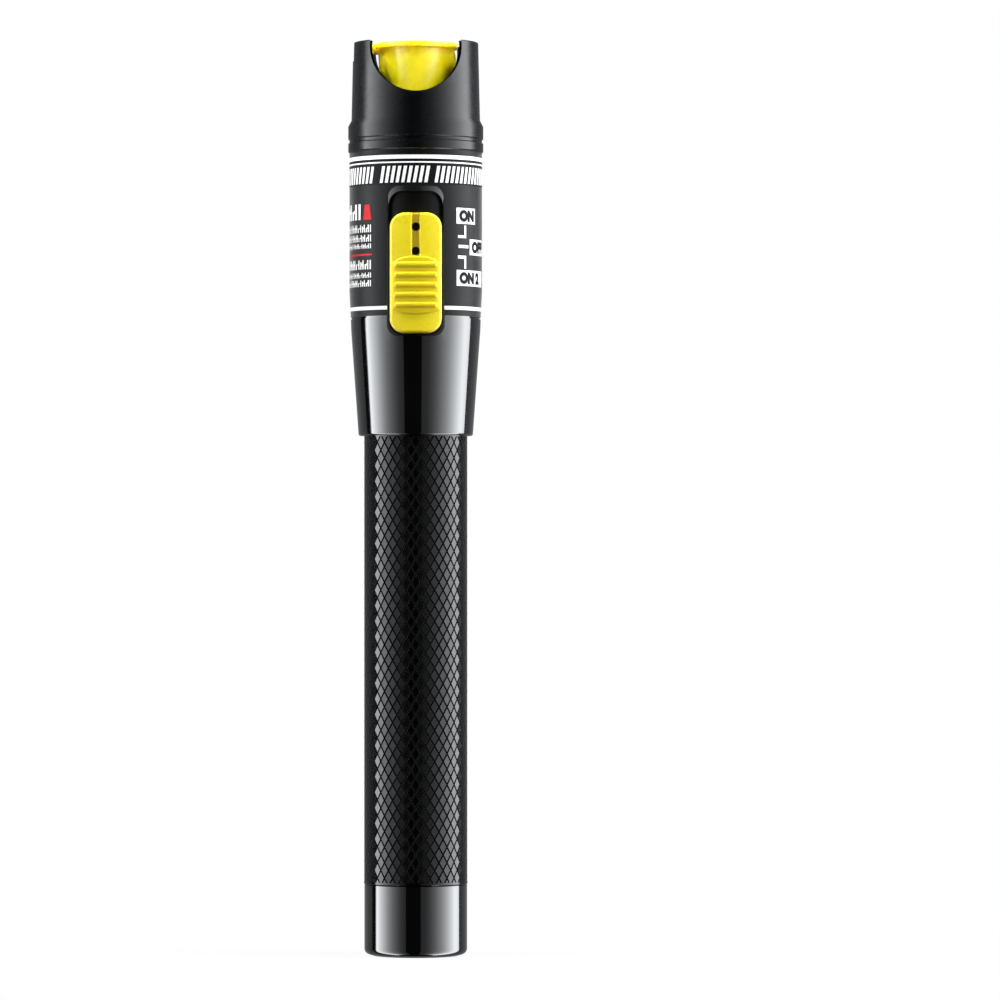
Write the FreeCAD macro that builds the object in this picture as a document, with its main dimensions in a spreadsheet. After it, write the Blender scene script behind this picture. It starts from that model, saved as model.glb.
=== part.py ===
import FreeCAD, Part
import Sketcher
import os

# Visual fault locator in the shape of a pen. The origin is the centre of the flat tail,
# +Z runs along the pen to the head and -Y is the front, where the thumb slider is.
# Every size is in millimetres.

doc = FreeCAD.newDocument("FaultLocatorPen")

# Driving sizes: a name, its value and what it measures
SIZES = [
    ("running_gap", 0.1, "radial gap between turned pieces that fit"),
    ("play", 0.05, "small gap round pressed-in pieces"),
    # Tail cap
    ("tail_step", 0.05, "side of the tail cap inside the grip's"),
    ("tail_height", 13.7, "tail cap up to its shoulder"),
    ("tail_foot_inset", 1.7, "flat foot inside the tail cap's side"),
    ("tail_foot_rise", 0.5, "cone from the flat foot out to the side"),
    ("tail_rounding", 1.2, "rounding between that cone and the side"),
    ("tail_floor", 2.6, "thickness of the tail cap's floor"),
    ("thread_wall", 1.3, "wall of the tail cap's threaded spigot"),
    ("thread_height", 6.2, "length of that spigot"),
    ("ring_section", 0.76, "thickness of the rubber rings"),
    ("ring_groove", 1.2, "width of a ring's groove"),
    ("ring_rise", 0.6, "groove above its shoulder"),
    # Contacts and cells
    ("plate_dia", 13.2, "tail contact plate"),
    ("plate_thick", 0.3, "sheet of the contact plate"),
    ("plate_boss_dia", 3.6, "boss that centres the spring"),
    ("plate_boss_height", 0.6, "height of that boss"),
    ("spring_height", 5.1, "spring under load"),
    ("spring_foot_dia", 10.6, "widest turn of the spring"),
    ("spring_wire", 0.8, "wire of the spring"),
    ("spring_head_dia", 7.4, "narrowest turn of the spring"),
    ("spring_half_turns", 7, "half turns of the spring"),
    ("cell_dia", 14.3, "AA cell"),
    ("cell_gap", 0.45, "cell in the battery bore"),
    ("cell_length", 50.5, "AA cell with its button"),
    ("button_dia", 5.3, "button of the cell"),
    ("button_height", 1.3, "height of the button"),
    ("cell_edge", 0.4, "broken edges of the cell's can"),
    ("contact_room", 0.7, "upper cell's button to the grip's end"),
    # Grip
    ("grip_step", 1.11, "face of the knurl beyond the grip's upper spigot"),
    ("knurl_depth", 0.18, "depth of the knurled band"),
    ("lip_step", 0.075, "small lip at the grip's foot beyond the knurl"),
    ("grip_lip", 0.3, "height of that lip"),
    ("grip_land", 0.2, "plain band above the knurl"),
    ("spigot_wall", 1.2, "wall of the grip's upper spigot"),
    ("spigot_length", 10.0, "length of that spigot"),
    # Body shell
    ("body_dia", 25.45, "over the label"),
    ("sleeve_step", 0.32, "top of the tapered sleeve inside the label's face"),
    ("sleeve_taper", 1.44, "foot of the sleeve inside its top"),
    ("sleeve_length", 22.3, "tapered sleeve"),
    ("sleeve_land", 2.0, "last, steeper part of the taper left off"),
    ("label_foot_step", 0.25, "label's lower edge inside its full radius"),
    ("label_flare", 5.2, "height over which the label still widens"),
    ("label_length", 32.0, "label seat"),
    ("label_thick", 0.2, "label film"),
    ("label_seam", 0.4, "seam between sleeve and label"),
    ("shell_wall", 2.0, "wall of the body shell with its label"),
    ("neck_step", 1.2, "threaded neck under the head, inside the label's face"),
    ("neck_length", 7.8, "length of that neck"),
    # Collar and head
    ("collar_step", 0.24, "collar ring and head flange beyond the label"),
    ("collar_height", 1.9, "collar ring"),
    ("gasket_height", 0.55, "gasket between collar and head, flush with the label"),
    ("edge_break", 0.2, "small broken edges"),
    ("flange_height", 2.55, "flange of the head"),
    ("flange_slope", 1.2, "sloped shoulder above the flange"),
    ("head_shoulder", 0.625, "head inside its flange"),
    ("head_taper", 0.34, "head's rim inside its foot"),
    ("head_length", 18.65, "whole head"),
    ("cup_wall", 1.9, "wall of the head's cup at the rim"),
    ("cup_floor", 1.4, "floor of the cup"),
    ("window_radius", 8.75, "round cut-outs in front and behind"),
    ("window_drop", 1.3, "centre of the cut-outs below the rim"),
    # Hinge and dust cap
    ("hinge_inset", 1.4, "hinge pin inside the head's rim"),
    ("hinge_drop", 1.8, "hinge pin below the rim"),
    ("hinge_pin_dia", 1.0, "hinge pin"),
    ("hinge_pin_length", 7.4, "hinge pin"),
    ("knuckle_dia", 2.3, "knuckle of the cap"),
    ("knuckle_width", 4.0, "width of knuckle and arm"),
    ("notch_gap", 0.15, "gap on each side of the knuckle"),
    ("notch_depth", 3.6, "hinge notch below the rim"),
    ("arm_thick", 1.7, "arm of the cap"),
    ("arm_drop", 0.25, "top of the arm below the rim"),
    ("cap_dia", 15.0, "cap under its flange"),
    ("cap_foot_dia", 14.4, "cap at its lower edge"),
    ("cap_bore_dia", 12.2, "inside of the cap"),
    ("cap_length", 10.4, "whole cap"),
    ("cap_roof", 2.4, "thickness of the cap's top"),
    ("cap_flange_dia", 16.4, "flange of the cap"),
    ("cap_flange_height", 1.2, "flange of the cap"),
    # Thumb slider and its track
    ("slot_width", 10.9, "track insert"),
    ("slot_length", 28.5, "track insert"),
    ("slot_drop", 7.0, "track insert below the top of the label"),
    ("slot_corner", 2.2, "corner of the track insert"),
    ("track_wall", 0.25, "side wall of the track"),
    ("track_head_wall", 1.0, "upper wall of the track"),
    ("track_foot_wall", 0.15, "lower wall of the track"),
    ("track_corner", 2.8, "corner of the track"),
    ("track_depth", 1.0, "depth of the track under the label"),
    ("slider_width", 10.0, "thumb slider"),
    ("slider_length", 23.1, "thumb slider"),
    ("slider_corner", 2.8, "corner of the thumb slider"),
    ("slider_height", 2.2, "slider above the label"),
    ("slider_lift", 0.25, "gap between slider and track"),
    ("slider_edge", 0.5, "rounded edge of the slider"),
    ("slider_travel", 4.0, "from the lowest to the highest position"),
    ("pad_width", 8.9, "raised thumb pad"),
    ("pad_rise", 4.5, "pad's shoulder above the slider's foot"),
    ("pad_bulge", 0.9, "sag of the pad's curved lower edge"),
    ("pad_height", 10.4, "shoulder to top of the pad"),
    ("pad_corner", 1.4, "upper corners of the pad"),
    ("pad_relief", 0.2, "pad above the slider's face"),
    ("rib_width", 8.0, "grip ribs across the pad"),
    ("rib_rise", 5.3, "lowest rib above the slider's foot"),
    ("rib_pitch", 1.93, "from rib to rib"),
    ("rib_count", 5, "number of ribs"),
    ("rib_height", 0.3, "ribs above the pad"),
    ("rib_base", 1.1, "foot of a rib"),
    ("channel_width", 1.5, "channel above the pad"),
    ("channel_depth", 0.3, "depth of the channel"),
    ("dot_dia", 1.4, "two dark plugs in the channel"),
    ("dot_depth", 1.5, "their holes"),
    ("dot_drop", 2.8, "upper plug below the slider's top"),
    ("dot_pitch", 4.5, "from plug to plug"),
    ("tongue_width", 2.8, "tongue from slider to carriage"),
    ("tongue_rise", 9.3, "tongue above the slider's foot"),
    ("tongue_length", 6.0, "tongue"),
    ("tongue_gap", 0.4, "gap round the tongue"),
    ("carriage_width", 6.4, "switch carriage"),
    ("carriage_length", 9.0, "switch carriage"),
    ("carriage_gap", 0.8, "front of the carriage inside the shell's bore"),
    ("carriage_thick", 1.5, "switch carriage"),
    ("lever_width", 1.5, "lever of the slide switch"),
    ("lever_gap", 0.15, "gap round the lever"),
    # Electronics
    ("holder_thick", 0.7, "its disc inside the shell's step"),
    ("holder_flange", 1.0, "its flange above the step"),
    ("rivet_head_dia", 6.4, "positive contact"),
    ("rivet_head", 0.55, "height of the contact's head"),
    ("rivet_dia", 1.5, "shank of the contact"),
    ("chassis_well", 6.0, "depth of the well behind the board"),
    ("chassis_well_width", 12.0, "width of that well"),
    ("chassis_shelf", 6.5, "solid ends of the carrier"),
    ("board_thick", 1.2, "circuit board"),
    ("board_width", 16.0, "circuit board"),
    ("board_margin", 0.5, "board inside the carrier's ends"),
    ("screw_dia", 2.0, "board screws"),
    ("screw_head_dia", 3.8, "heads of the board screws"),
    ("screw_head", 1.2, "height of those heads"),
    ("screw_length", 6.0, "shanks of the board screws"),
    ("screw_inset", 3.2, "board screws from the carrier's ends"),
    ("switch_width", 5.6, "slide switch"),
    ("switch_length", 13.0, "slide switch"),
    ("switch_height", 3.2, "slide switch"),
    ("switch_gap", 0.3, "slide switch behind the carriage"),
    ("chip_size", 4.0, "driver chip"),
    ("chip_height", 1.2, "driver chip"),
    ("chip_offset", 3.4, "driver chip beside the axis"),
    ("capacitor_dia", 3.4, "capacitor"),
    ("capacitor_height", 3.0, "capacitor"),
    ("parts_drop", 4.1, "chip and capacitor below the slide switch"),
    # Laser and port
    ("laser_flange_height", 3.4, "flange of the laser housing"),
    ("barrel_dia", 10.8, "barrel of the laser housing"),
    ("barrel_length", 8.0, "barrel above its flange"),
    ("can_base_dia", 5.6, "base of the laser diode"),
    ("can_base", 1.2, "thickness of that base"),
    ("can_dia", 4.6, "can of the laser diode"),
    ("can_height", 2.7, "can of the laser diode"),
    ("can_inset", 1.4, "diode above the foot of its housing"),
    ("lead_dia", 0.5, "leads of the diode"),
    ("lead_spread", 1.25, "leads from the axis"),
    ("aperture_dia", 5.2, "hole between diode and lens"),
    ("lens_dia", 6.0, "lens"),
    ("lens_seat", 2.6, "lens seat above the barrel's foot"),
    ("lens_edge", 0.8, "edge of the lens"),
    ("lens_sag", 0.25, "bulge of each lens face"),
    ("retainer_height", 1.6, "ring that holds the lens"),
    ("retainer_bore", 5.2, "hole in that ring"),
    ("nozzle_base_dia", 13.2, "base of the port"),
    ("nozzle_overlap", 3.0, "base over the barrel"),
    ("nozzle_base_height", 4.3, "base above the barrel"),
    ("nozzle_dia", 5.0, "tube of the port"),
    ("nozzle_length", 3.6, "tube above its base"),
    ("nozzle_drop", 8.6, "end of the tube below the head's rim"),
    ("ferrule_dia", 2.5, "ferrule that the port takes"),
    ("sleeve_wall", 0.35, "wall of the split sleeve"),
    ("sleeve_height", 6.6, "split sleeve"),
    ("sleeve_slit", 0.4, "slit of the split sleeve"),
    ("nozzle_throat", 2.1, "light hole under the split sleeve"),
]

# Heights above the tail and radii that follow from the driving sizes
LEVELS = [
    ("plate_foot", "Sizes.tail_floor"),
    ("spring_foot", "plate_foot + Sizes.plate_thick"),
    ("cell_foot", "spring_foot + Sizes.spring_height"),
    ("cell_middle", "cell_foot + Sizes.cell_length"),
    ("cell_top", "cell_middle + Sizes.cell_length"),
    ("thread_top", "Sizes.tail_height + Sizes.thread_height"),
    ("thread_ring", "Sizes.tail_height + Sizes.ring_rise"),
    ("spigot_top", "cell_top + Sizes.contact_room"),
    ("shoulder", "spigot_top - Sizes.spigot_length"),
    ("spigot_ring", "shoulder + Sizes.ring_rise"),
    ("knurl_foot", "Sizes.tail_height + 2 * Sizes.grip_lip"),
    ("knurl_top", "shoulder - Sizes.grip_land"),
    ("holder_foot", "spigot_top + Sizes.running_gap"),
    ("holder_step", "holder_foot + Sizes.holder_thick"),
    ("chassis_foot", "holder_step + Sizes.holder_flange"),
    ("label_foot", "shoulder + Sizes.sleeve_length"),
    ("label_edge", "label_foot + Sizes.label_seam"),
    ("label_full", "label_foot + Sizes.label_flare"),
    ("label_top", "label_foot + Sizes.label_length"),
    ("collar_top", "label_top + Sizes.collar_height"),
    ("head_foot", "collar_top + Sizes.gasket_height"),
    ("head_flange", "head_foot + Sizes.flange_height"),
    ("head_slope", "head_flange + Sizes.flange_slope"),
    ("neck_top", "label_top + Sizes.neck_length"),
    ("cup_foot", "neck_top + Sizes.running_gap + Sizes.cup_floor"),
    ("rim", "head_foot + Sizes.head_length"),
    ("hinge_level", "rim - Sizes.hinge_drop"),
    ("cap_foot", "rim - Sizes.cap_length"),
    ("slot_top", "label_top - Sizes.slot_drop"),
    ("slot_foot", "slot_top - Sizes.slot_length"),
    ("track_foot", "slot_foot + Sizes.track_foot_wall"),
    ("track_top", "slot_top - Sizes.track_head_wall"),
    ("slider_top", "track_top - Sizes.running_gap - Sizes.slider_travel"),
    ("slider_foot", "slider_top - Sizes.slider_length"),
    ("tongue_foot", "slider_foot + Sizes.tongue_rise"),
    ("tongue_top", "tongue_foot + Sizes.tongue_length"),
    ("lever_level", "tongue_foot + Sizes.tongue_length / 2"),
    ("switch_level", "lever_level + Sizes.slider_travel / 2"),
    ("parts_level", "switch_level - Sizes.switch_length / 2 - Sizes.parts_drop"),
    ("nozzle_top", "rim - Sizes.nozzle_drop"),
    ("nozzle_step", "nozzle_top - Sizes.nozzle_length"),
    ("sleeve_foot", "nozzle_top - Sizes.sleeve_height - Sizes.running_gap"),
    ("barrel_top", "nozzle_step - Sizes.nozzle_base_height"),
    ("barrel_foot", "barrel_top - Sizes.barrel_length"),
    ("lens_level", "barrel_foot + Sizes.lens_seat"),
    ("laser_foot", "barrel_foot - Sizes.laser_flange_height"),
    ("diode_foot", "laser_foot + Sizes.can_inset"),
    ("chassis_top", "laser_foot - Sizes.running_gap"),
    ("chassis_length", "chassis_top - chassis_foot"),
    ("cell_bore", "Sizes.cell_dia / 2 + Sizes.cell_gap"),
    ("thread_radius", "cell_bore + Sizes.thread_wall"),
    ("spigot_radius", "cell_bore + Sizes.spigot_wall"),
    ("spigot_socket", "spigot_radius + Sizes.running_gap"),
    ("grip_radius", "spigot_radius + Sizes.grip_step"),
    ("lip_radius", "grip_radius + Sizes.lip_step"),
    ("tail_radius", "grip_radius - Sizes.tail_step"),
    ("body_radius", "Sizes.body_dia / 2"),
    ("sleeve_head_radius", "body_radius - Sizes.sleeve_step"),
    ("sleeve_foot_radius", "sleeve_head_radius - Sizes.sleeve_taper"),
    ("label_foot_radius", "body_radius - Sizes.label_foot_step"),
    ("bore_radius", "body_radius - Sizes.shell_wall"),
    ("insert_radius", "bore_radius - Sizes.running_gap"),
    ("chassis_radius", "insert_radius - Sizes.running_gap"),
    ("neck_radius", "body_radius - Sizes.neck_step"),
    ("neck_socket", "neck_radius + Sizes.running_gap"),
    ("collar_radius", "body_radius + Sizes.collar_step"),
    ("head_foot_radius", "collar_radius - Sizes.head_shoulder"),
    ("head_top_radius", "head_foot_radius - Sizes.head_taper"),
    ("cup_radius", "head_top_radius - Sizes.cup_wall"),
    ("hinge_reach", "head_top_radius - Sizes.hinge_inset"),
    ("track_radius", "body_radius - Sizes.track_depth"),
    ("slider_inner", "track_radius + Sizes.slider_lift"),
    ("slider_face", "body_radius + Sizes.slider_height"),
    ("carriage_front", "bore_radius - Sizes.carriage_gap"),
    ("carriage_back", "carriage_front - Sizes.carriage_thick"),
    ("switch_front", "carriage_back - Sizes.switch_gap"),
    ("board_front", "switch_front - Sizes.switch_height"),
    ("board_back", "board_front - Sizes.board_thick"),
]

FULL_TURN = 360


def fill_sheet(name, rows):
    """Spreadsheet with a name, a value and a note in each row; the value has the name as alias."""
    sheet = doc.addObject("Spreadsheet::Sheet", name)
    for row, (alias, value, note) in enumerate(rows, 1):
        sheet.set("A%d" % row, alias)
        sheet.set("B%d" % row, str(value))
        sheet.setAlias("B%d" % row, alias)
        sheet.set("C%d" % row, note)
    doc.recompute()
    return sheet


sizes = fill_sheet("Sizes", SIZES)
levels = fill_sheet("Levels", [(alias, "=" + formula, "") for alias, formula in LEVELS])


def number(expression):
    """Present value of an expression."""
    value = levels.evalExpression(expression)
    return float(getattr(value, "Value", value))


def new_body(label):
    body = doc.addObject("PartDesign::Body", label)
    body.Label = label
    return body


def new_sketch(body, name, role, offset=None):
    """Sketch on one of the body's own origin planes, moved along its normal by an expression."""
    sketch = body.newObject("Sketcher::SketchObject", name)
    plane = next(item for item in body.Origin.OriginFeatures if item.Role == role)
    sketch.AttachmentSupport = (plane, [""])
    sketch.MapMode = "FlatFace"
    if offset:
        sketch.setExpression("AttachmentOffset.Base.z", offset)
    return sketch


def bind(sketch, kind, items, expression):
    """Dimension that follows an expression."""
    index = sketch.addConstraint(Sketcher.Constraint(kind, *items, abs(number(expression))))
    sketch.setExpression("Constraints[%d]" % index, expression)


def locate(sketch, edge, end, direction, expression):
    """Fix one coordinate of a point from the sketch's origin."""
    value = number(expression)
    if expression == "0":
        axis = -2 if direction == "DistanceX" else -1
        sketch.addConstraint(Sketcher.Constraint("PointOnObject", edge, end, axis))
    elif value > 0:
        bind(sketch, direction, (-1, 1, edge, end), expression)
    else:
        bind(sketch, direction, (edge, end, -1, 1), "-(%s)" % expression)


def polygon(sketch, corners):
    """Closed outline through corners given as pairs of expressions, fully constrained."""
    first = sketch.GeometryCount
    count = len(corners)
    spots = [FreeCAD.Vector(number(across), number(up), 0) for across, up in corners]
    for index in range(count):
        sketch.addGeometry(Part.LineSegment(spots[index], spots[(index + 1) % count]), False)
    for index in range(count):
        following = first + (index + 1) % count
        sketch.addConstraint(Sketcher.Constraint("Coincident", first + index, 2, following, 1))
    for axis, direction, straight in ((0, "DistanceX", "Vertical"), (1, "DistanceY", "Horizontal")):
        for index in range(count):
            same_as_last = index > 0 and corners[index][axis] == corners[index - 1][axis]
            closes = index == count - 1 and corners[index][axis] == corners[0][axis]
            if same_as_last:
                sketch.addConstraint(Sketcher.Constraint(straight, first + index - 1))
            elif closes:
                sketch.addConstraint(Sketcher.Constraint(straight, first + index))
            else:
                locate(sketch, first + index, 1, direction, corners[index][axis])


def rectangle(sketch, left, right, low, high):
    polygon(sketch, [(left, low), (right, low), (right, high), (left, high)])


def circle(sketch, across, up, radius):
    index = sketch.addGeometry(
        Part.Circle(FreeCAD.Vector(number(across), number(up), 0), FreeCAD.Vector(0, 0, 1), number(radius)),
        False)
    bind(sketch, "Radius", (index,), radius)
    if across == "0" and up == "0":
        sketch.addConstraint(Sketcher.Constraint("Coincident", index, 3, -1, 1))
    else:
        locate(sketch, index, 3, "DistanceX", across)
        locate(sketch, index, 3, "DistanceY", up)


def rounded_rectangle(sketch, half_width, low, high, corner):
    """Upright rectangle with four equal round corners, symmetrical about the sketch's axis."""
    half, foot, top, radius = (number(item) for item in (half_width, low, high, corner))
    centres = [(half - radius, foot + radius, 270), (half - radius, top - radius, 0),
               (radius - half, top - radius, 90), (radius - half, foot + radius, 180)]
    arcs = []
    for across, up, start in centres:
        round_corner = Part.Circle(FreeCAD.Vector(across, up, 0), FreeCAD.Vector(0, 0, 1), radius)
        begin = FreeCAD.Units.Quantity(start, "deg").getValueAs("rad").Value
        end = FreeCAD.Units.Quantity(start + 90, "deg").getValueAs("rad").Value
        arcs.append(sketch.addGeometry(Part.ArcOfCircle(round_corner, begin, end), False))
    sides = []
    for index in range(4):
        start = sketch.getPoint(arcs[index], 2)
        end = sketch.getPoint(arcs[(index + 1) % 4], 1)
        sides.append(sketch.addGeometry(Part.LineSegment(start, end), False))
    for index in range(4):
        following = arcs[(index + 1) % 4]
        sketch.addConstraint(Sketcher.Constraint("Tangent", arcs[index], 2, sides[index], 1))
        sketch.addConstraint(Sketcher.Constraint("Tangent", sides[index], 2, following, 1))
    for index in (0, 2):
        sketch.addConstraint(Sketcher.Constraint("Vertical", sides[index]))
        sketch.addConstraint(Sketcher.Constraint("Horizontal", sides[index + 1]))
    for arc in arcs[1:]:
        sketch.addConstraint(Sketcher.Constraint("Equal", arcs[0], arc))
    bind(sketch, "Radius", (arcs[0],), corner)
    locate(sketch, sides[0], 1, "DistanceX", half_width)
    locate(sketch, sides[2], 1, "DistanceX", "-(%s)" % half_width)
    locate(sketch, sides[1], 1, "DistanceY", high)
    locate(sketch, sides[3], 1, "DistanceY", low)


def turn(body, name, *outlines, cut=False):
    """Turned form, or a turned cut, about the pen's axis."""
    sketch = new_sketch(body, name + "_profile", "XZ_Plane")
    for corners in outlines:
        polygon(sketch, corners)
    feature = body.newObject("PartDesign::Groove" if cut else "PartDesign::Revolution", name)
    feature.Profile = sketch
    feature.ReferenceAxis = (sketch, ["V_Axis"])
    feature.Angle = FULL_TURN
    doc.recompute()
    return feature


def extrude(body, name, sketch, length, cut=False, both_ways=False, backwards=False):
    """Pad or pocket of a sketch; a pocket that removes nothing is an error."""
    before = body.Shape.Volume if cut else 0
    feature = body.newObject("PartDesign::Pocket" if cut else "PartDesign::Pad", name)
    feature.Profile = sketch
    feature.Midplane = both_ways
    feature.Reversed = backwards
    feature.setExpression("Length", length)
    doc.recompute()
    if cut and body.Shape.Volume > before - 1e-6:
        raise RuntimeError("%s cuts nothing" % name)
    return feature


def ring_edges(feature, radius, height):
    """Names of the circular edges about the pen's axis with that radius at that height."""
    names = []
    for index, edge in enumerate(feature.Shape.Edges, 1):
        if not isinstance(edge.Curve, Part.Circle):
            continue
        same_radius = abs(edge.Curve.Radius - number(radius)) < 0.01
        same_height = abs(edge.Curve.Center.z - number(height)) < 0.01
        if same_radius and same_height:
            names.append("Edge%d" % index)
    return names


def soften(body, kind, name, edges, size):
    """Fillet or chamfer on named edges of the body's present tip."""
    base = body.Tip
    feature = body.newObject("PartDesign::" + kind, name)
    feature.Base = (base, edges)
    feature.setExpression("Radius" if kind == "Fillet" else "Size", size)
    doc.recompute()
    return feature


def bent_plate(body, name, half_width, low, high, corner, inner, outer):
    """Rounded plate on the front of the pen, bent about the axis between two radii."""
    sketch = new_sketch(body, name + "_outline", "XZ_Plane")
    rounded_rectangle(sketch, half_width, low, high, corner)
    extrude(body, name, sketch, outer + " + 1")
    trim_to_radii(body, name + "_bend", low, high, inner, outer)


def trim_to_radii(body, name, low, high, inner, outer):
    """Turned cut that leaves only what lies between two radii."""
    below = low + " - 2"
    above = high + " + 2"
    core = [("0", below), (inner, below), (inner, above), ("0", above)]
    outside = [(outer, below), (outer + " + 9", below), (outer + " + 9", above), (outer, above)]
    turn(body, name, core, outside, cut=True)


def rubber_ring(label, inner, level):
    """Ring in a turned groove, drawn with broken edges in place of its round section."""
    near = inner + " + Sizes.play / 2"
    far = near + " + Sizes.ring_section"
    low = "%s + (Sizes.ring_groove - Sizes.ring_section) / 2" % level
    high = low + " + Sizes.ring_section"
    cut = "Sizes.ring_section / 4"
    turn(new_body(label), label + "_form", [
        (near, "%s + %s" % (low, cut)), ("%s + %s" % (near, cut), low), ("%s - %s" % (far, cut), low),
        (far, "%s + %s" % (low, cut)), (far, "%s - %s" % (high, cut)), ("%s - %s" % (far, cut), high),
        ("%s + %s" % (near, cut), high), (near, "%s - %s" % (high, cut))])


def ring_groove(outer, level):
    """Outline of the groove that such a ring lies in, cut from that outer radius."""
    floor = outer + " - Sizes.ring_section - Sizes.play"
    top = level + " + Sizes.ring_groove"
    return [(floor, level), (outer + " + 1", level), (outer + " + 1", top), (floor, top)]


def groove_floor(outer):
    return outer + " - Sizes.ring_section - Sizes.play"


# Tail cap with its threaded spigot, its contact plate and its spring

def make_tail():
    cap = new_body("tail_cap")
    outer = "Levels.tail_radius"
    spigot = "Levels.thread_radius"
    bore = "Levels.cell_bore"
    turn(cap, "tail_form", [
        ("0", "0"), (outer + " - Sizes.tail_foot_inset", "0"), (outer, "Sizes.tail_foot_rise"),
        (outer, "Sizes.tail_height"), (spigot, "Sizes.tail_height"),
        (spigot, "Levels.thread_top"), (bore, "Levels.thread_top"), (bore, "Sizes.tail_floor"),
        ("0", "Sizes.tail_floor")])
    turn(cap, "tail_ring_groove", ring_groove(spigot, "Levels.thread_ring"), cut=True)
    soften(cap, "Fillet", "tail_rounding", ring_edges(cap.Tip, outer, "Sizes.tail_foot_rise"),
           "Sizes.tail_rounding")
    soften(cap, "Chamfer", "tail_shoulder_edge", ring_edges(cap.Tip, outer, "Sizes.tail_height"),
           "Sizes.edge_break / 2")
    rubber_ring("tail_o_ring", groove_floor(spigot), "Levels.thread_ring")

    plate = new_body("tail_contact_plate")
    boss_top = "Levels.spring_foot + Sizes.plate_boss_height"
    turn(plate, "plate_form", [
        ("0", "Levels.plate_foot"), ("Sizes.plate_dia / 2", "Levels.plate_foot"),
        ("Sizes.plate_dia / 2", "Levels.spring_foot"), ("Sizes.plate_boss_dia / 2", "Levels.spring_foot"),
        ("Sizes.plate_boss_dia / 2", boss_top), ("0", boss_top)])

    make_spring()


def make_spring():
    """Conical spring of round wire: tilted half circles that meet tangentially, each a bit narrower."""
    wire = number("Sizes.spring_wire")
    turns = int(number("Sizes.spring_half_turns"))
    foot_radius = (number("Sizes.spring_foot_dia") - wire) / 2
    head_radius = (number("Sizes.spring_head_dia") - wire) / 2
    low = number("Levels.spring_foot + Sizes.running_gap") + wire / 2
    rise = number("Sizes.spring_height - 2 * Sizes.running_gap") - wire
    radii = [foot_radius + (head_radius - foot_radius) * step / turns for step in range(turns + 1)]
    half_circles = []
    for step in range(turns):
        side = 1 if step % 2 == 0 else -1
        start = FreeCAD.Vector(side * radii[step], 0, low + rise * step / turns)
        end = FreeCAD.Vector(-side * radii[step + 1], 0, low + rise * (step + 1) / turns)
        middle = (start + end) / 2 + FreeCAD.Vector(0, side * (radii[step] + radii[step + 1]) / 2, 0)
        half_circles.append(Part.Arc(start, middle, end).toShape())
    path = Part.Wire(half_circles)
    section = Part.Wire(Part.makeCircle(
        wire / 2, FreeCAD.Vector(foot_radius, 0, low), FreeCAD.Vector(0, 1, 0)))
    spring = doc.addObject("Part::Feature", "tail_spring")
    spring.Label = "tail_spring"
    spring.Shape = path.makePipeShell([section], True, False)


# Two cells, one above the other

def make_cell(label, foot, top):
    cell = new_body(label)
    side = "Sizes.cell_dia / 2"
    button = "Sizes.button_dia / 2"
    can_top = top + " - Sizes.button_height"
    turn(cell, label + "_form", [
        ("0", foot), (side, foot), (side, can_top), (button, can_top), (button, top), ("0", top)])
    edges = ring_edges(cell.Tip, side, foot) + ring_edges(cell.Tip, side, can_top)
    soften(cell, "Chamfer", label + "_edges", edges, "Sizes.cell_edge")


# Grip tube: battery bore, recessed band for the knurl, lip at the foot and threaded spigot on top

def make_grip():
    grip = new_body("grip_tube")
    bore = "Levels.cell_bore"
    socket = "Levels.thread_radius + Sizes.running_gap"
    socket_top = "Levels.thread_top + Sizes.running_gap"
    lip = "Levels.lip_radius"
    land = "Levels.grip_radius"
    band = "Levels.grip_radius - Sizes.knurl_depth"
    spigot = "Levels.spigot_radius"
    lip_top = "Sizes.tail_height + Sizes.grip_lip"
    turn(grip, "grip_form", [
        (socket, "Sizes.tail_height"), (lip, "Sizes.tail_height"), (lip, lip_top), (land, lip_top),
        (land, "Levels.knurl_foot"), (band, "Levels.knurl_foot"), (band, "Levels.knurl_top"),
        (land, "Levels.knurl_top"), (land, "Levels.shoulder"), (spigot, "Levels.shoulder"),
        (spigot, "Levels.spigot_top"), (bore, "Levels.spigot_top"), (bore, socket_top),
        (socket, socket_top)])
    turn(grip, "grip_ring_groove", ring_groove(spigot, "Levels.spigot_ring"), cut=True)
    soften(grip, "Chamfer", "grip_lip_edge", ring_edges(grip.Tip, lip, "Sizes.tail_height"),
           "Sizes.edge_break")
    rubber_ring("grip_o_ring", groove_floor(spigot), "Levels.spigot_ring")


# Body shell: tapered sleeve, label seat and threaded neck in one turned piece, with the switch window

def make_shell():
    shell = new_body("body_shell")
    socket = "Levels.spigot_socket"
    bore = "Levels.bore_radius"
    foot = "Levels.sleeve_foot_radius"
    head = "Levels.sleeve_head_radius"
    seat_foot = "Levels.label_foot_radius - Sizes.label_thick"
    seat = "Levels.body_radius - Sizes.label_thick"
    neck = "Levels.neck_radius"
    taper_end = "Levels.label_foot - Sizes.sleeve_land"
    turn(shell, "shell_form", [
        (socket, "Levels.shoulder"), (foot, "Levels.shoulder"), (head, taper_end),
        ("Levels.label_foot_radius", "Levels.label_foot"), (seat_foot, "Levels.label_foot"),
        (seat_foot, "Levels.label_edge"), (seat, "Levels.label_full"), (seat, "Levels.label_top"),
        (neck, "Levels.label_top"), (neck, "Levels.neck_top"), (bore, "Levels.neck_top"),
        (bore, "Levels.holder_step"), (socket, "Levels.holder_step")])
    window = new_sketch(shell, "switch_window_outline", "XZ_Plane")
    rounded_rectangle(window, "Sizes.slot_width / 2 + Sizes.play", "Levels.slot_foot - Sizes.play",
                      "Levels.slot_top + Sizes.play", "Sizes.slot_corner")
    extrude(shell, "switch_window", window, "Levels.body_radius + 1", cut=True, backwards=True)
    soften(shell, "Fillet", "sleeve_foot_rounding", ring_edges(shell.Tip, foot, "Levels.shoulder"),
           "Sizes.edge_break * 2")


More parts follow.
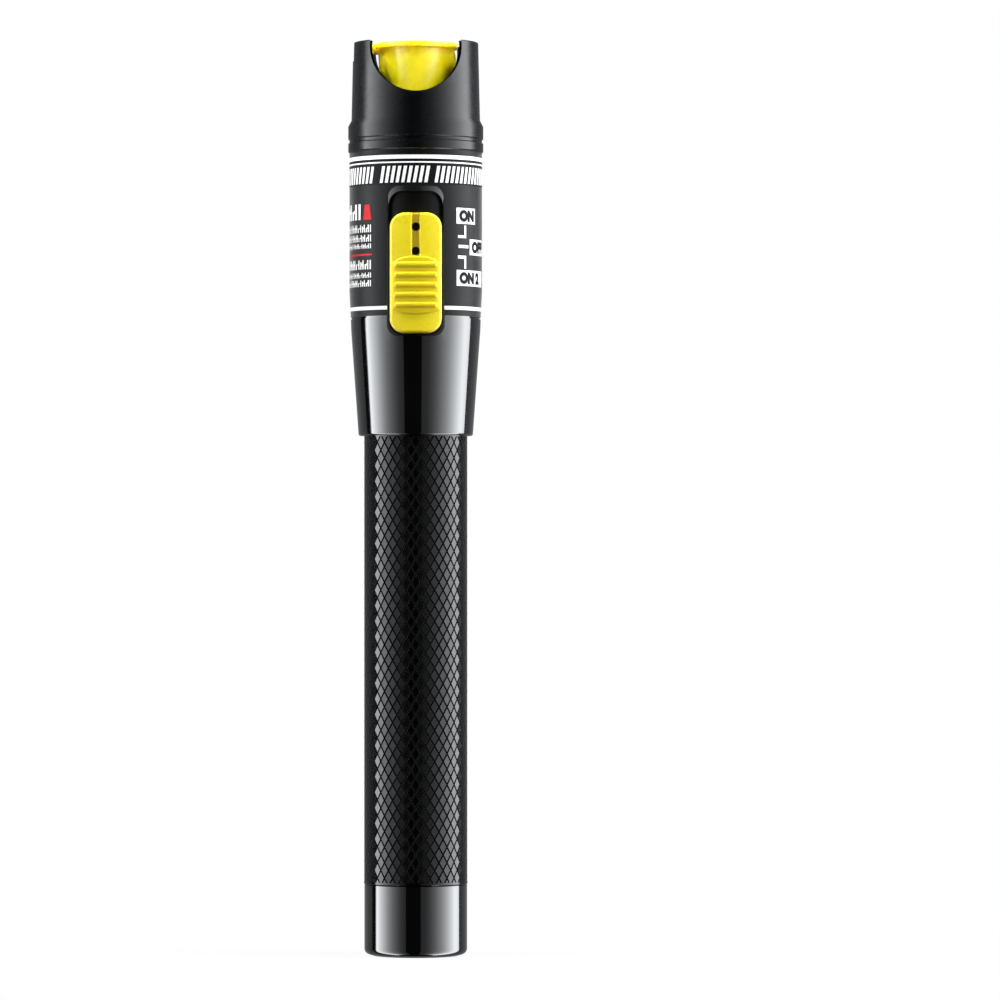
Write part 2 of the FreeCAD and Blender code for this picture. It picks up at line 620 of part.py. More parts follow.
# Label film with the same window

def make_label():
    label = new_body("label_wrap")
    low = "Levels.label_foot_radius"
    high = "Levels.body_radius"
    turn(label, "label_form", [
        (low + " - Sizes.label_thick", "Levels.label_edge"), (low, "Levels.label_edge"),
        (high, "Levels.label_full"), (high, "Levels.label_top"),
        (high + " - Sizes.label_thick", "Levels.label_top"),
        (high + " - Sizes.label_thick", "Levels.label_full")])
    window = new_sketch(label, "label_window_outline", "XZ_Plane")
    rounded_rectangle(window, "Sizes.slot_width / 2 + Sizes.play", "Levels.slot_foot - Sizes.play",
                      "Levels.slot_top + Sizes.play", "Sizes.slot_corner")
    extrude(label, "label_window", window, "Levels.body_radius + 1", cut=True, backwards=True)


# Track insert in the window: a bent tray with a slit for the slider's tongue

def make_track():
    track = new_body("switch_bezel")
    inner = "Levels.bore_radius + Sizes.play"
    outer = "Levels.body_radius - Sizes.play"
    bent_plate(track, "track_plate", "Sizes.slot_width / 2", "Levels.slot_foot", "Levels.slot_top",
               "Sizes.slot_corner", inner, outer)

    recess = new_body("track_recess")
    bent_plate(recess, "recess_plate", "Sizes.slot_width / 2 - Sizes.track_wall", "Levels.track_foot",
               "Levels.track_top", "Sizes.track_corner", "Levels.track_radius", outer + " + 1")

    slit = new_sketch(track, "tongue_slit_outline", "XZ_Plane")
    half = "Sizes.tongue_width / 2 + Sizes.tongue_gap"
    rectangle(slit, "-(%s)" % half, half, "Levels.tongue_foot - Sizes.tongue_gap",
              "Levels.tongue_top + Sizes.slider_travel + Sizes.tongue_gap")
    extrude(track, "tongue_slit", slit, "Levels.body_radius + 1", cut=True, backwards=True)
    track.Label = "track_insert_blank"

    tray = doc.addObject("Part::Cut", "switch_bezel_tray")
    tray.Base = track
    tray.Tool = recess
    tray.Label = "switch_bezel"


# Thumb slider: bent cap with a raised, ribbed pad, a channel with two dark plugs, and a tongue

def make_slider():
    shoe = new_body("slider_shoe")
    bent_plate(shoe, "slider_plate", "Sizes.slider_width / 2", "Levels.slider_foot", "Levels.slider_top",
               "Sizes.slider_corner", "Levels.slider_inner", "Levels.slider_face")
    face = number("Levels.slider_face")
    rim = []
    for index, edge in enumerate(shoe.Tip.Shape.Edges, 1):
        if all(abs(vertex.X ** 2 + vertex.Y ** 2 - face ** 2) < 0.01 for vertex in edge.Vertexes):
            rim.append("Edge%d" % index)
    soften(shoe, "Fillet", "slider_rim", rim, "Sizes.slider_edge")

    channel = new_sketch(shoe, "slider_channel_outline", "XZ_Plane",
                         "Levels.slider_face - Sizes.channel_depth")
    pad_top = "Levels.slider_foot + Sizes.pad_rise + Sizes.pad_height"
    rectangle(channel, "-Sizes.channel_width / 2", "Sizes.channel_width / 2", pad_top,
              "Levels.slider_top + 1")
    extrude(shoe, "slider_channel", channel, "2", cut=True, backwards=True)

    tongue = new_sketch(shoe, "slider_tongue_outline", "XZ_Plane", "Levels.carriage_front")
    rectangle(tongue, "-Sizes.tongue_width / 2", "Sizes.tongue_width / 2", "Levels.tongue_foot",
              "Levels.tongue_top")
    extrude(shoe, "slider_tongue", tongue, "Levels.slider_inner + 0.5 - Levels.carriage_front")

    upper_dot = "Levels.slider_top - Sizes.dot_drop"
    lower_dot = "Levels.slider_top - Sizes.dot_drop - Sizes.dot_pitch"
    hole_floor = "Levels.slider_face - Sizes.dot_depth"
    for place, level in (("upper", upper_dot), ("lower", lower_dot)):
        hole = new_sketch(shoe, "dot_hole_outline_" + place, "XZ_Plane", hole_floor)
        circle(hole, "0", level, "Sizes.dot_dia / 2 + Sizes.play")
        extrude(shoe, "dot_hole_" + place, hole, "Sizes.dot_depth + 1", cut=True, backwards=True)
        plug = new_body("slider_dot_" + place)
        section = new_sketch(plug, "dot_outline_" + place, "XZ_Plane", hole_floor)
        circle(section, "0", level, "Sizes.dot_dia / 2")
        extrude(plug, "dot_form_" + place, section, "Sizes.dot_depth - Sizes.channel_depth - Sizes.play")

    pad = make_thumb_pad()
    slider = doc.addObject("Part::MultiFuse", "slider_whole")
    slider.Shapes = [shoe, pad]
    slider.Refine = True
    slider.Label = "thumb_slider"


def make_thumb_pad():
    """Raised pad with round upper corners, a curved lower edge and ribs bent round the pen."""
    pad = new_body("slider_pad")
    half = "Sizes.pad_width / 2"
    low = "Levels.slider_foot + Sizes.pad_rise"
    high = low + " + Sizes.pad_height"
    sketch = new_sketch(pad, "pad_outline", "XZ_Plane")
    width, foot, top, bulge, corner = (number(item) for item in (
        half, low, high, "Sizes.pad_bulge", "Sizes.pad_corner"))
    upright = FreeCAD.Vector(0, 0, 1)
    spots = [(width, foot), (width, top - corner), (width - corner, top), (corner - width, top),
             (-width, top - corner), (-width, foot)]
    points = [FreeCAD.Vector(across, up, 0) for across, up in spots]
    right = sketch.addGeometry(Part.LineSegment(points[0], points[1]), False)
    corner_right = sketch.addGeometry(Part.ArcOfCircle(
        Part.Circle(FreeCAD.Vector(width - corner, top - corner, 0), upright, corner), 0, 1.5708), False)
    upper = sketch.addGeometry(Part.LineSegment(points[2], points[3]), False)
    corner_left = sketch.addGeometry(Part.ArcOfCircle(
        Part.Circle(FreeCAD.Vector(corner - width, top - corner, 0), upright, corner), 1.5708, 3.1416), False)
    left = sketch.addGeometry(Part.LineSegment(points[4], points[5]), False)
    lowest = FreeCAD.Vector(0, foot - bulge, 0)
    lower = sketch.addGeometry(Part.Arc(points[5], lowest, points[0]), False)
    for first, first_end, second, second_end in (
            (right, 2, corner_right, 1), (corner_right, 2, upper, 1),
            (upper, 2, corner_left, 1), (corner_left, 2, left, 1)):
        sketch.addConstraint(Sketcher.Constraint("Tangent", first, first_end, second, second_end))
    sketch.addConstraint(Sketcher.Constraint("Coincident", left, 2, lower, 1))
    sketch.addConstraint(Sketcher.Constraint("Coincident", lower, 2, right, 1))
    for side in (left, right):
        sketch.addConstraint(Sketcher.Constraint("Vertical", side))
    sketch.addConstraint(Sketcher.Constraint("Horizontal", upper))
    sketch.addConstraint(Sketcher.Constraint("Equal", corner_left, corner_right))
    sketch.addConstraint(Sketcher.Constraint("Symmetric", left, 2, right, 1, -2))
    bind(sketch, "Radius", (corner_right,), "Sizes.pad_corner")
    locate(sketch, right, 1, "DistanceX", half)
    locate(sketch, right, 1, "DistanceY", low)
    locate(sketch, upper, 1, "DistanceY", high)
    bind(sketch, "Radius", (lower,), "(pow(%s; 2) + pow(Sizes.pad_bulge; 2)) / (2 * Sizes.pad_bulge)" % half)
    extrude(pad, "pad_form", sketch, "Levels.slider_face + 2")
    surface = "Levels.slider_face + Sizes.pad_relief"
    trim_to_radii(pad, "pad_bend", low, high, "Levels.slider_face - 1", surface)

    rib = new_sketch(pad, "rib_profile", "YZ_Plane")
    rib_foot = "Levels.slider_foot + Sizes.rib_rise"
    crest = "-(%s + Sizes.rib_height)" % surface
    root = "-(%s - Sizes.pad_relief)" % surface
    polygon(rib, [(root, rib_foot), (crest, rib_foot + " + Sizes.rib_base / 2"),
                  (crest, rib_foot + " + Sizes.rib_base * 0.8"), (root, rib_foot + " + Sizes.rib_base")])
    ridge = pad.newObject("PartDesign::Revolution", "rib")
    ridge.Profile = rib
    ridge.ReferenceAxis = (rib, ["V_Axis"])
    ridge.Midplane = True
    ridge.setExpression("Angle", "180 / pi * Sizes.rib_width / (%s) * 1 deg" % surface)
    doc.recompute()
    pattern = pad.newObject("PartDesign::LinearPattern", "ribs")
    pattern.Originals = [ridge]
    upright_axis = next(item for item in pad.Origin.OriginFeatures if item.Role == "Z_Axis")
    pattern.Direction = (upright_axis, [""])
    pattern.setExpression("Occurrences", "Sizes.rib_count")
    pattern.setExpression("Length", "Sizes.rib_pitch * (Sizes.rib_count - 1)")
    pad.Tip = pattern
    doc.recompute()
    return pad


# Carriage behind the track, which the tongue pushes, and the lever that it holds

def make_carriage():
    carriage = new_body("switch_carriage")
    middle = "Levels.lever_level"
    outline = new_sketch(carriage, "carriage_outline", "XZ_Plane", "Levels.carriage_back")
    half = "Sizes.carriage_width / 2"
    rectangle(outline, "-" + half, half, middle + " - Sizes.carriage_length / 2",
              middle + " + Sizes.carriage_length / 2")
    extrude(carriage, "carriage_form", outline, "Sizes.carriage_thick")
    hole = new_sketch(carriage, "lever_hole_outline", "XZ_Plane", "Levels.carriage_back")
    reach = "(Sizes.lever_width / 2 + Sizes.lever_gap)"
    rectangle(hole, "-" + reach, reach, "%s - %s" % (middle, reach), "%s + %s" % (middle, reach))
    extrude(carriage, "lever_hole", hole, "Sizes.carriage_thick * 2 / 3", cut=True, backwards=True)

    lever = new_body("switch_lever")
    root = new_sketch(lever, "lever_outline", "XZ_Plane", "Levels.switch_front + Sizes.play")
    reach = "Sizes.lever_width / 2"
    rectangle(root, "-" + reach, reach, "%s - %s" % (middle, reach), "%s + %s" % (middle, reach))
    extrude(lever, "lever_form", root,
            "Levels.carriage_back + Sizes.carriage_thick / 2 - Levels.switch_front - Sizes.play")


def block(label, left, right, low, high, back, depth):
    """Plain upright block in front of the axis, from a sketch at the given distance."""
    body = new_body(label)
    outline = new_sketch(body, label + "_outline", "XZ_Plane", back)
    rectangle(outline, left, right, low, high)
    extrude(body, label + "_form", outline, depth)
    return body


# Contact holder, board carrier, circuit board and what is on it

def make_electronics():
    holder = new_body("contact_holder")
    inside = "Levels.spigot_radius"
    flange = "Levels.insert_radius"
    shank = "Sizes.rivet_dia / 2"
    turn(holder, "holder_form", [
        (shank + " + Sizes.play", "Levels.holder_foot"), (inside, "Levels.holder_foot"),
        (inside, "Levels.holder_step"), (flange, "Levels.holder_step"),
        (flange, "Levels.chassis_foot"), (shank + " + Sizes.play", "Levels.chassis_foot")])
    contact = new_body("positive_contact")
    head = "Sizes.rivet_head_dia / 2"
    head_foot = "Levels.holder_foot - Sizes.rivet_head"
    turn(contact, "contact_form", [
        ("0", head_foot), (head, head_foot), (head, "Levels.holder_foot"),
        (shank, "Levels.holder_foot"), (shank, "Levels.chassis_foot + 0.8"),
        ("0", "Levels.chassis_foot + 0.8")])

    chassis = new_body("chassis")
    disc = new_sketch(chassis, "chassis_outline", "XY_Plane", "Levels.chassis_foot")
    circle(disc, "0", "0", "Levels.chassis_radius")
    extrude(chassis, "chassis_form", disc, "Levels.chassis_length")
    front = new_sketch(chassis, "chassis_flat_outline", "XY_Plane", "Levels.chassis_foot")
    wide = "Levels.chassis_radius + 1"
    rectangle(front, "-(%s)" % wide, wide, "-(%s)" % wide, "-Levels.board_back")
    extrude(chassis, "chassis_flat", front, "Levels.chassis_length", cut=True, backwards=True)
    well = new_sketch(chassis, "chassis_well_outline", "XZ_Plane", "Levels.board_back")
    half = "Sizes.chassis_well_width / 2"
    rectangle(well, "-" + half, half, "Levels.chassis_foot + Sizes.chassis_shelf",
              "Levels.chassis_top - Sizes.chassis_shelf")
    extrude(chassis, "chassis_well", well, "Sizes.chassis_well", cut=True)
    rivet_room = new_sketch(chassis, "rivet_room_outline", "XY_Plane", "Levels.chassis_foot")
    circle(rivet_room, "0", "0", shank + " + Sizes.play")
    extrude(chassis, "rivet_room", rivet_room, "1", cut=True, backwards=True)

    board_low = "Levels.chassis_foot + Sizes.board_margin"
    board_high = "Levels.chassis_top - Sizes.board_margin"
    board = block("circuit_board", "-Sizes.board_width / 2", "Sizes.board_width / 2", board_low,
                  board_high, "Levels.board_back", "Sizes.board_thick")
    screws = (("lower", "Levels.chassis_foot + Sizes.screw_inset"),
              ("upper", "Levels.chassis_top - Sizes.screw_inset"))
    screw_hole = "Sizes.screw_dia / 2 + Sizes.play"
    screw_end = "Levels.board_front - Sizes.screw_length"
    for place, level in screws:
        for body, depth in ((board, "Sizes.board_thick"), (chassis, "Levels.board_back - (%s)" % screw_end)):
            hole = new_sketch(body, "%s_hole_outline_%s" % (body.Label, place), "XZ_Plane",
                              "Levels.board_front" if body is board else "Levels.board_back")
            circle(hole, "0", level, screw_hole)
            extrude(body, "%s_hole_%s" % (body.Label, place), hole, depth, cut=True)
        screw = new_body("board_screw_" + place)
        shank_outline = new_sketch(screw, "screw_shank_outline_" + place, "XZ_Plane", screw_end)
        circle(shank_outline, "0", level, "Sizes.screw_dia / 2")
        extrude(screw, "screw_shank_" + place, shank_outline, "Sizes.screw_length")
        head_outline = new_sketch(screw, "screw_head_outline_" + place, "XZ_Plane", "Levels.board_front")
        circle(head_outline, "0", level, "Sizes.screw_head_dia / 2")
        extrude(screw, "screw_head_" + place, head_outline, "Sizes.screw_head")

    block("slide_switch", "-Sizes.switch_width / 2", "Sizes.switch_width / 2",
          "Levels.switch_level - Sizes.switch_length / 2", "Levels.switch_level + Sizes.switch_length / 2",
          "Levels.board_front", "Sizes.switch_height")
    half_chip = "Sizes.chip_size / 2"
    block("driver_chip", "-Sizes.chip_offset - " + half_chip, "-Sizes.chip_offset + " + half_chip,
          "Levels.parts_level - " + half_chip, "Levels.parts_level + " + half_chip,
          "Levels.board_front", "Sizes.chip_height")
    capacitor = new_body("capacitor")
    foot = new_sketch(capacitor, "capacitor_outline", "XZ_Plane", "Levels.board_front")
    circle(foot, "Sizes.chip_offset", "Levels.parts_level", "Sizes.capacitor_dia / 2")
    extrude(capacitor, "capacitor_form", foot, "Sizes.capacitor_height")


# Laser housing with diode, lens and lens ring

def make_laser():
    housing = new_body("laser_housing")
    flange = "Levels.insert_radius"
    barrel = "Sizes.barrel_dia / 2"
    pocket = "Sizes.can_base_dia / 2 + Sizes.play"
    aperture = "Sizes.aperture_dia / 2"
    lens_bore = "Sizes.lens_dia / 2 + Sizes.play"
    can_step = "Levels.diode_foot + Sizes.can_base"
    turn(housing, "housing_form", [
        (pocket, "Levels.laser_foot"), (flange, "Levels.laser_foot"), (flange, "Levels.barrel_foot"),
        (barrel, "Levels.barrel_foot"), (barrel, "Levels.barrel_top"), (lens_bore, "Levels.barrel_top"),
        (lens_bore, "Levels.lens_level"), (aperture, "Levels.lens_level"), (aperture, can_step),
        (pocket, can_step)])

    diode = new_body("laser_diode")
    base = "Sizes.can_base_dia / 2"
    can = "Sizes.can_dia / 2"
    can_top = can_step + " + Sizes.can_height"
    turn(diode, "diode_form", [
        ("0", "Levels.diode_foot"), (base, "Levels.diode_foot"), (base, can_step), (can, can_step),
        (can, can_top), ("0", can_top)])
    leads = new_sketch(diode, "diode_leads_outline", "XY_Plane", "Levels.diode_foot")
    for side in ("Sizes.lead_spread", "-Sizes.lead_spread"):
        circle(leads, side, "0", "Sizes.lead_dia / 2")
    extrude(diode, "diode_leads", leads, "Sizes.can_inset", backwards=True)

    lens = new_body("lens")
    make_lens(lens)
    retainer = new_body("lens_ring")
    ring_foot = "Levels.lens_level + Sizes.lens_edge + 2 * Sizes.running_gap"
    ring_top = ring_foot + " + Sizes.retainer_height"
    turn(retainer, "lens_ring_form", [
        ("Sizes.retainer_bore / 2", ring_foot), ("Sizes.lens_dia / 2", ring_foot),
        ("Sizes.lens_dia / 2", ring_top), ("Sizes.retainer_bore / 2", ring_top)])


def make_lens(lens):
    """Lens with two bulging faces, turned from a straight edge and two arcs."""
    radius = "Sizes.lens_dia / 2"
    low = "Levels.lens_level + Sizes.running_gap"
    high = low + " + Sizes.lens_edge"
    sketch = new_sketch(lens, "lens_profile", "XZ_Plane")
    edge, foot, top, sag = (number(item) for item in (radius, low, high, "Sizes.lens_sag"))
    curve = (edge ** 2 + sag ** 2) / (2 * sag)
    half_way = (edge / 2, (curve ** 2 - edge ** 2 / 4) ** 0.5 - (curve - sag))
    bottom = FreeCAD.Vector(0, foot - sag, 0)
    lower_edge = FreeCAD.Vector(edge, foot, 0)
    upper_edge = FreeCAD.Vector(edge, top, 0)
    summit = FreeCAD.Vector(0, top + sag, 0)
    lower = sketch.addGeometry(Part.Arc(
        bottom, FreeCAD.Vector(half_way[0], foot - half_way[1], 0), lower_edge), False)
    side = sketch.addGeometry(Part.LineSegment(lower_edge, upper_edge), False)
    upper = sketch.addGeometry(Part.Arc(
        upper_edge, FreeCAD.Vector(half_way[0], top + half_way[1], 0), summit), False)
    axis = sketch.addGeometry(Part.LineSegment(summit, bottom), False)
    for first, second in ((lower, side), (side, upper), (upper, axis), (axis, lower)):
        sketch.addConstraint(Sketcher.Constraint("Coincident", first, 2, second, 1))
    sketch.addConstraint(Sketcher.Constraint("Vertical", side))
    for end in (1, 2):
        sketch.addConstraint(Sketcher.Constraint("PointOnObject", axis, end, -2))
    locate(sketch, side, 1, "DistanceX", radius)
    locate(sketch, side, 1, "DistanceY", low)
    locate(sketch, side, 2, "DistanceY", high)
    locate(sketch, axis, 1, "DistanceY", high + " + Sizes.lens_sag")
    locate(sketch, axis, 2, "DistanceY", low + " - Sizes.lens_sag")
    rounding = "(pow(%s; 2) + pow(Sizes.lens_sag; 2)) / (2 * Sizes.lens_sag)" % radius
    bind(sketch, "Radius", (lower,), rounding)
    bind(sketch, "Radius", (upper,), rounding)
    feature = lens.newObject("PartDesign::Revolution", "lens_form")
    feature.Profile = sketch
    feature.ReferenceAxis = (sketch, ["V_Axis"])
    feature.Angle = FULL_TURN
    doc.recompute()


# Optical port: base over the barrel, tube for the ferrule and the split sleeve inside

def make_port():
    port = new_body("port_nozzle")
    base = "Sizes.nozzle_base_dia / 2"
    socket = "Sizes.barrel_dia / 2 + Sizes.running_gap"
    tube = "Sizes.nozzle_dia / 2"
    bore = "Sizes.ferrule_dia / 2 + Sizes.sleeve_wall + Sizes.play"
    throat = "Sizes.nozzle_throat / 2"
    base_foot = "Levels.barrel_top - Sizes.nozzle_overlap"
    socket_top = "Levels.barrel_top + Sizes.running_gap"
    turn(port, "port_form", [
        (socket, base_foot), (base, base_foot), (base, "Levels.nozzle_step"), (tube, "Levels.nozzle_step"),
        (tube, "Levels.nozzle_top"), (bore, "Levels.nozzle_top"), (bore, "Levels.sleeve_foot"),
        (throat, "Levels.sleeve_foot"), (throat, socket_top), (socket, socket_top)])
    soften(port, "Chamfer", "port_mouth", ring_edges(port.Tip, tube, "Levels.nozzle_top"),
           "Sizes.edge_break")

    sleeve = new_body("split_sleeve")
    inner = "Sizes.ferrule_dia / 2"
    outer = inner + " + Sizes.sleeve_wall"
    top = "Levels.sleeve_foot + Sizes.sleeve_height"
    turn(sleeve, "split_sleeve_form", [
        (inner, "Levels.sleeve_foot"), (outer, "Levels.sleeve_foot"), (outer, top), (inner, top)])
    slit = new_sketch(sleeve, "sleeve_slit_outline", "YZ_Plane")
    half = "Sizes.sleeve_slit / 2"
    rectangle(slit, "-" + half, half, "Levels.sleeve_foot - 1", top + " + 1")
    extrude(sleeve, "sleeve_slit", slit, outer + " + 1", cut=True, backwards=True)


# Collar ring and gasket between the label and the head

def make_collar():
    neck = "Levels.neck_socket"
    for label, outer, low, high in (
            ("collar_ring", "Levels.collar_radius", "Levels.label_top", "Levels.collar_top"),
            ("collar_gasket", "Levels.body_radius", "Levels.collar_top", "Levels.head_foot")):
        ring = new_body(label)
        turn(ring, label + "_form", [(neck, low), (outer, low), (outer, high), (neck, high)])
        if label == "collar_ring":
            edges = ring_edges(ring.Tip, outer, low) + ring_edges(ring.Tip, outer, high)
            soften(ring, "Chamfer", "collar_edges", edges, "Sizes.edge_break")


# Head: turned shroud with a cup on top, round cut-outs in front and behind, and the hinge notch

def make_head():
    head = new_body("head_shroud")
    neck = "Levels.neck_socket"
    flange = "Levels.collar_radius"
    foot = "Levels.head_foot_radius"
    top = "Levels.head_top_radius"
    cup = "Levels.cup_radius"
    port_hole = "Sizes.nozzle_base_dia / 2 + Sizes.running_gap"
    socket_top = "Levels.neck_top + Sizes.running_gap"
    turn(head, "head_form", [
        (neck, "Levels.head_foot"), (flange, "Levels.head_foot"), (flange, "Levels.head_flange"),
        (foot, "Levels.head_slope"), (top, "Levels.rim"), (cup, "Levels.rim"), (cup, "Levels.cup_foot"),
        (port_hole, "Levels.cup_foot"), (port_hole, socket_top), (neck, socket_top)])
    soften(head, "Chamfer", "head_flange_edge", ring_edges(head.Tip, flange, "Levels.head_foot"),
           "Sizes.edge_break")
    soften(head, "Fillet", "head_rim_edges",
           ring_edges(head.Tip, top, "Levels.rim") + ring_edges(head.Tip, cup, "Levels.rim"),
           "Sizes.edge_break")

    window = new_sketch(head, "head_window_outline", "XZ_Plane")
    circle(window, "0", "Levels.rim - Sizes.window_drop", "Sizes.window_radius")
    extrude(head, "head_windows", window, "2 * Levels.collar_radius + 2", cut=True, both_ways=True)

    notch = new_sketch(head, "hinge_notch_outline", "YZ_Plane")
    half = "Sizes.knuckle_width / 2 + Sizes.notch_gap"
    rectangle(notch, "-(%s)" % half, half, "Levels.rim - Sizes.notch_depth", "Levels.rim + 1")
    extrude(head, "hinge_notch", notch, "Levels.collar_radius + 1", cut=True)

    pin_hole = new_sketch(head, "pin_hole_outline", "XZ_Plane")
    circle(pin_hole, "-Levels.hinge_reach", "Levels.hinge_level", "Sizes.hinge_pin_dia / 2 + Sizes.play")
    extrude(head, "pin_hole", pin_hole, "Sizes.hinge_pin_length + 2 * Sizes.play", cut=True, both_ways=True)

    pin = new_body("hinge_pin")
    section = new_sketch(pin, "hinge_pin_outline", "XZ_Plane")
    circle(section, "-Levels.hinge_reach", "Levels.hinge_level", "Sizes.hinge_pin_dia / 2")
    extrude(pin, "hinge_pin_form", section, "Sizes.hinge_pin_length", both_ways=True)


# Dust cap: flanged cup over the port, with an arm and a knuckle round the hinge pin

def make_dust_cap():
    cap = new_body("dust_cap")
    flange = "Sizes.cap_flange_dia / 2"
    side = "Sizes.cap_dia / 2"
    foot = "Sizes.cap_foot_dia / 2"
    bore = "Sizes.cap_bore_dia / 2"
    flange_foot = "Levels.rim - Sizes.cap_flange_height"
    roof = "Levels.rim - Sizes.cap_roof"
    turn(cap, "cap_form", [
        (bore, "Levels.cap_foot"), (foot, "Levels.cap_foot"), (side, flange_foot), (flange, flange_foot),
        (flange, "Levels.rim"), ("0", "Levels.rim"), ("0", roof), (bore, roof)])
    soften(cap, "Fillet", "cap_flange_rounding",
           ring_edges(cap.Tip, flange, "Levels.rim") + ring_edges(cap.Tip, flange, flange_foot),
           "Sizes.cap_flange_height / 3")

    arm = new_sketch(cap, "cap_arm_outline", "XZ_Plane")
    arm_top = "Levels.rim - Sizes.arm_drop"
    rectangle(arm, "-Levels.hinge_reach", "-(%s)" % bore, arm_top + " - Sizes.arm_thick", arm_top)
    extrude(cap, "cap_arm", arm, "Sizes.knuckle_width", both_ways=True)
    knuckle = new_sketch(cap, "cap_knuckle_outline", "XZ_Plane")
    circle(knuckle, "-Levels.hinge_reach", "Levels.hinge_level", "Sizes.knuckle_dia / 2")
    extrude(cap, "cap_knuckle", knuckle, "Sizes.knuckle_width", both_ways=True)
    hole = new_sketch(cap, "knuckle_hole_outline", "XZ_Plane")
    circle(hole, "-Levels.hinge_reach", "Levels.hinge_level", "Sizes.hinge_pin_dia / 2 + Sizes.play")
    extrude(cap, "knuckle_hole", hole, "Sizes.knuckle_width + 2", cut=True, both_ways=True)


make_tail()
make_cell("battery_lower", "Levels.cell_foot", "Levels.cell_middle")
make_cell("battery_upper", "Levels.cell_middle", "Levels.cell_top")
make_grip()
make_shell()
make_label()
make_track()
make_slider()
make_carriage()
make_electronics()
make_laser()
make_port()
make_collar()
make_head()
make_dust_cap()
doc.recompute()

# Bodies that only serve to make another piece are not written
HELPERS = ("track_insert_blank", "track_recess", "slider_shoe", "slider_pad")
SOLID_TYPES = ("PartDesign::Body", "Part::Cut", "Part::MultiFuse", "Part::Feature")

for item in doc.Objects:
    if "Invalid" in item.State or "Error" in item.State:
        raise RuntimeError("%s failed: %s" % (item.Label, item.State))

pieces = [item for item in doc.Objects if item.TypeId in SOLID_TYPES and item.Label not in HELPERS]
for piece in pieces:
    if piece.Shape.isNull() or not piece.Shape.isValid():
        raise RuntimeError("%s has no valid shape" % piece.Label)

os.makedirs("parts", exist_ok=True)
for piece in pieces:
    piece.Shape.exportStep("parts/%s.step" % piece.Label)
    print("%-20s %d solid, %9.2f mm3" % (piece.Label, len(piece.Shape.Solids), piece.Shape.Volume))
print("%d pieces" % len(pieces))
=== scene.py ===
import bmesh
import bpy
import math
from mathutils import Matrix, Vector


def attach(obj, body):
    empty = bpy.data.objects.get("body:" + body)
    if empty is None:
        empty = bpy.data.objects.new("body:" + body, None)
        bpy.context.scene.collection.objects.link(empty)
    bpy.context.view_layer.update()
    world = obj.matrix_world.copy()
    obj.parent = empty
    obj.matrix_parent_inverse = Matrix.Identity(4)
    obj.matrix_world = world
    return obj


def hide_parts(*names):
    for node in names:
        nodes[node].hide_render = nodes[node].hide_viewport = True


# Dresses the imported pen: materials, the knurl, the printed label and the studio round it.
# Everything is in metres; MM turns the millimetres of the real object into them.

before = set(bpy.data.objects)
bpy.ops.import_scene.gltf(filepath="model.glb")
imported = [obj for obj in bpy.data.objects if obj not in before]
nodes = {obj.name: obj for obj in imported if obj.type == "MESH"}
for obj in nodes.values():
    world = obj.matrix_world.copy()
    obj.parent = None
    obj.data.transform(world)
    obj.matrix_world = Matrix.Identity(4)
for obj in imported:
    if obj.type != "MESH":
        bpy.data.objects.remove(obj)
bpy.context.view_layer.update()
MM = 0.001

# Sizes that the printed graphics and the knurl share with the solids
BODY_RADIUS = 12.725 * MM
LABEL_FOOT_RADIUS = 12.475 * MM
LABEL_FOOT = 122.0 * MM
LABEL_FULL = 127.2 * MM
PRINT_LIFT = 0.04 * MM
GROUND_LIFT = 0.02 * MM
GRIP_RADIUS = 9.91 * MM
KNURL_DEPTH = 0.16 * MM
# Middle and half the height of the slope under the head's flange
FLANGE_SLOPE = 159.6 * MM
FLANGE_SLOPE_HALF = 0.65 * MM


# Camera at the photograph's angle: level, 1137 mm away, with the pen left of the middle

CAMERA_DISTANCE = 1.137
CAMERA_HEIGHT = 0.0755
MM_PER_PIXEL = 0.192
FRAME_PIXELS = 1000
AXIS_COLUMN = 415.75
HORIZON_ROW = 562
SENSOR_WIDTH = 36
NEAR_CLIP = 0.01
FAR_CLIP = 20


def add_camera():
    data = bpy.data.cameras.new("photo_camera")
    data.sensor_width = SENSOR_WIDTH
    field = FRAME_PIXELS * MM_PER_PIXEL * MM
    data.lens = data.sensor_width * CAMERA_DISTANCE / field
    data.shift_x = (FRAME_PIXELS / 2 - AXIS_COLUMN) / FRAME_PIXELS
    data.shift_y = (HORIZON_ROW - FRAME_PIXELS / 2) / FRAME_PIXELS
    data.clip_start = NEAR_CLIP
    data.clip_end = FAR_CLIP
    camera = bpy.data.objects.new("photo_camera", data)
    camera.location = (0, -CAMERA_DISTANCE, CAMERA_HEIGHT)
    camera.rotation_euler = (math.radians(90), 0, 0)
    bpy.context.scene.collection.objects.link(camera)
    bpy.context.scene.camera = camera


add_camera()
bpy.context.scene.view_settings.view_transform = "Standard"


# Materials

# Part of the noise's range over which colours and roughness run from one end to the other
NOISE_LOW = 0.3
NOISE_HIGH = 0.7
# Moulded plastic: sizes of its clouding, mottling and grain, and the grain's depth
CLOUD_SIZE = 9 * MM
MOTTLE_SIZE = 2 * MM
GRAIN_SIZE = 0.12 * MM
GRAIN_DEPTH = 0.004 * MM
ROUGHNESS_SPREAD = 0.03


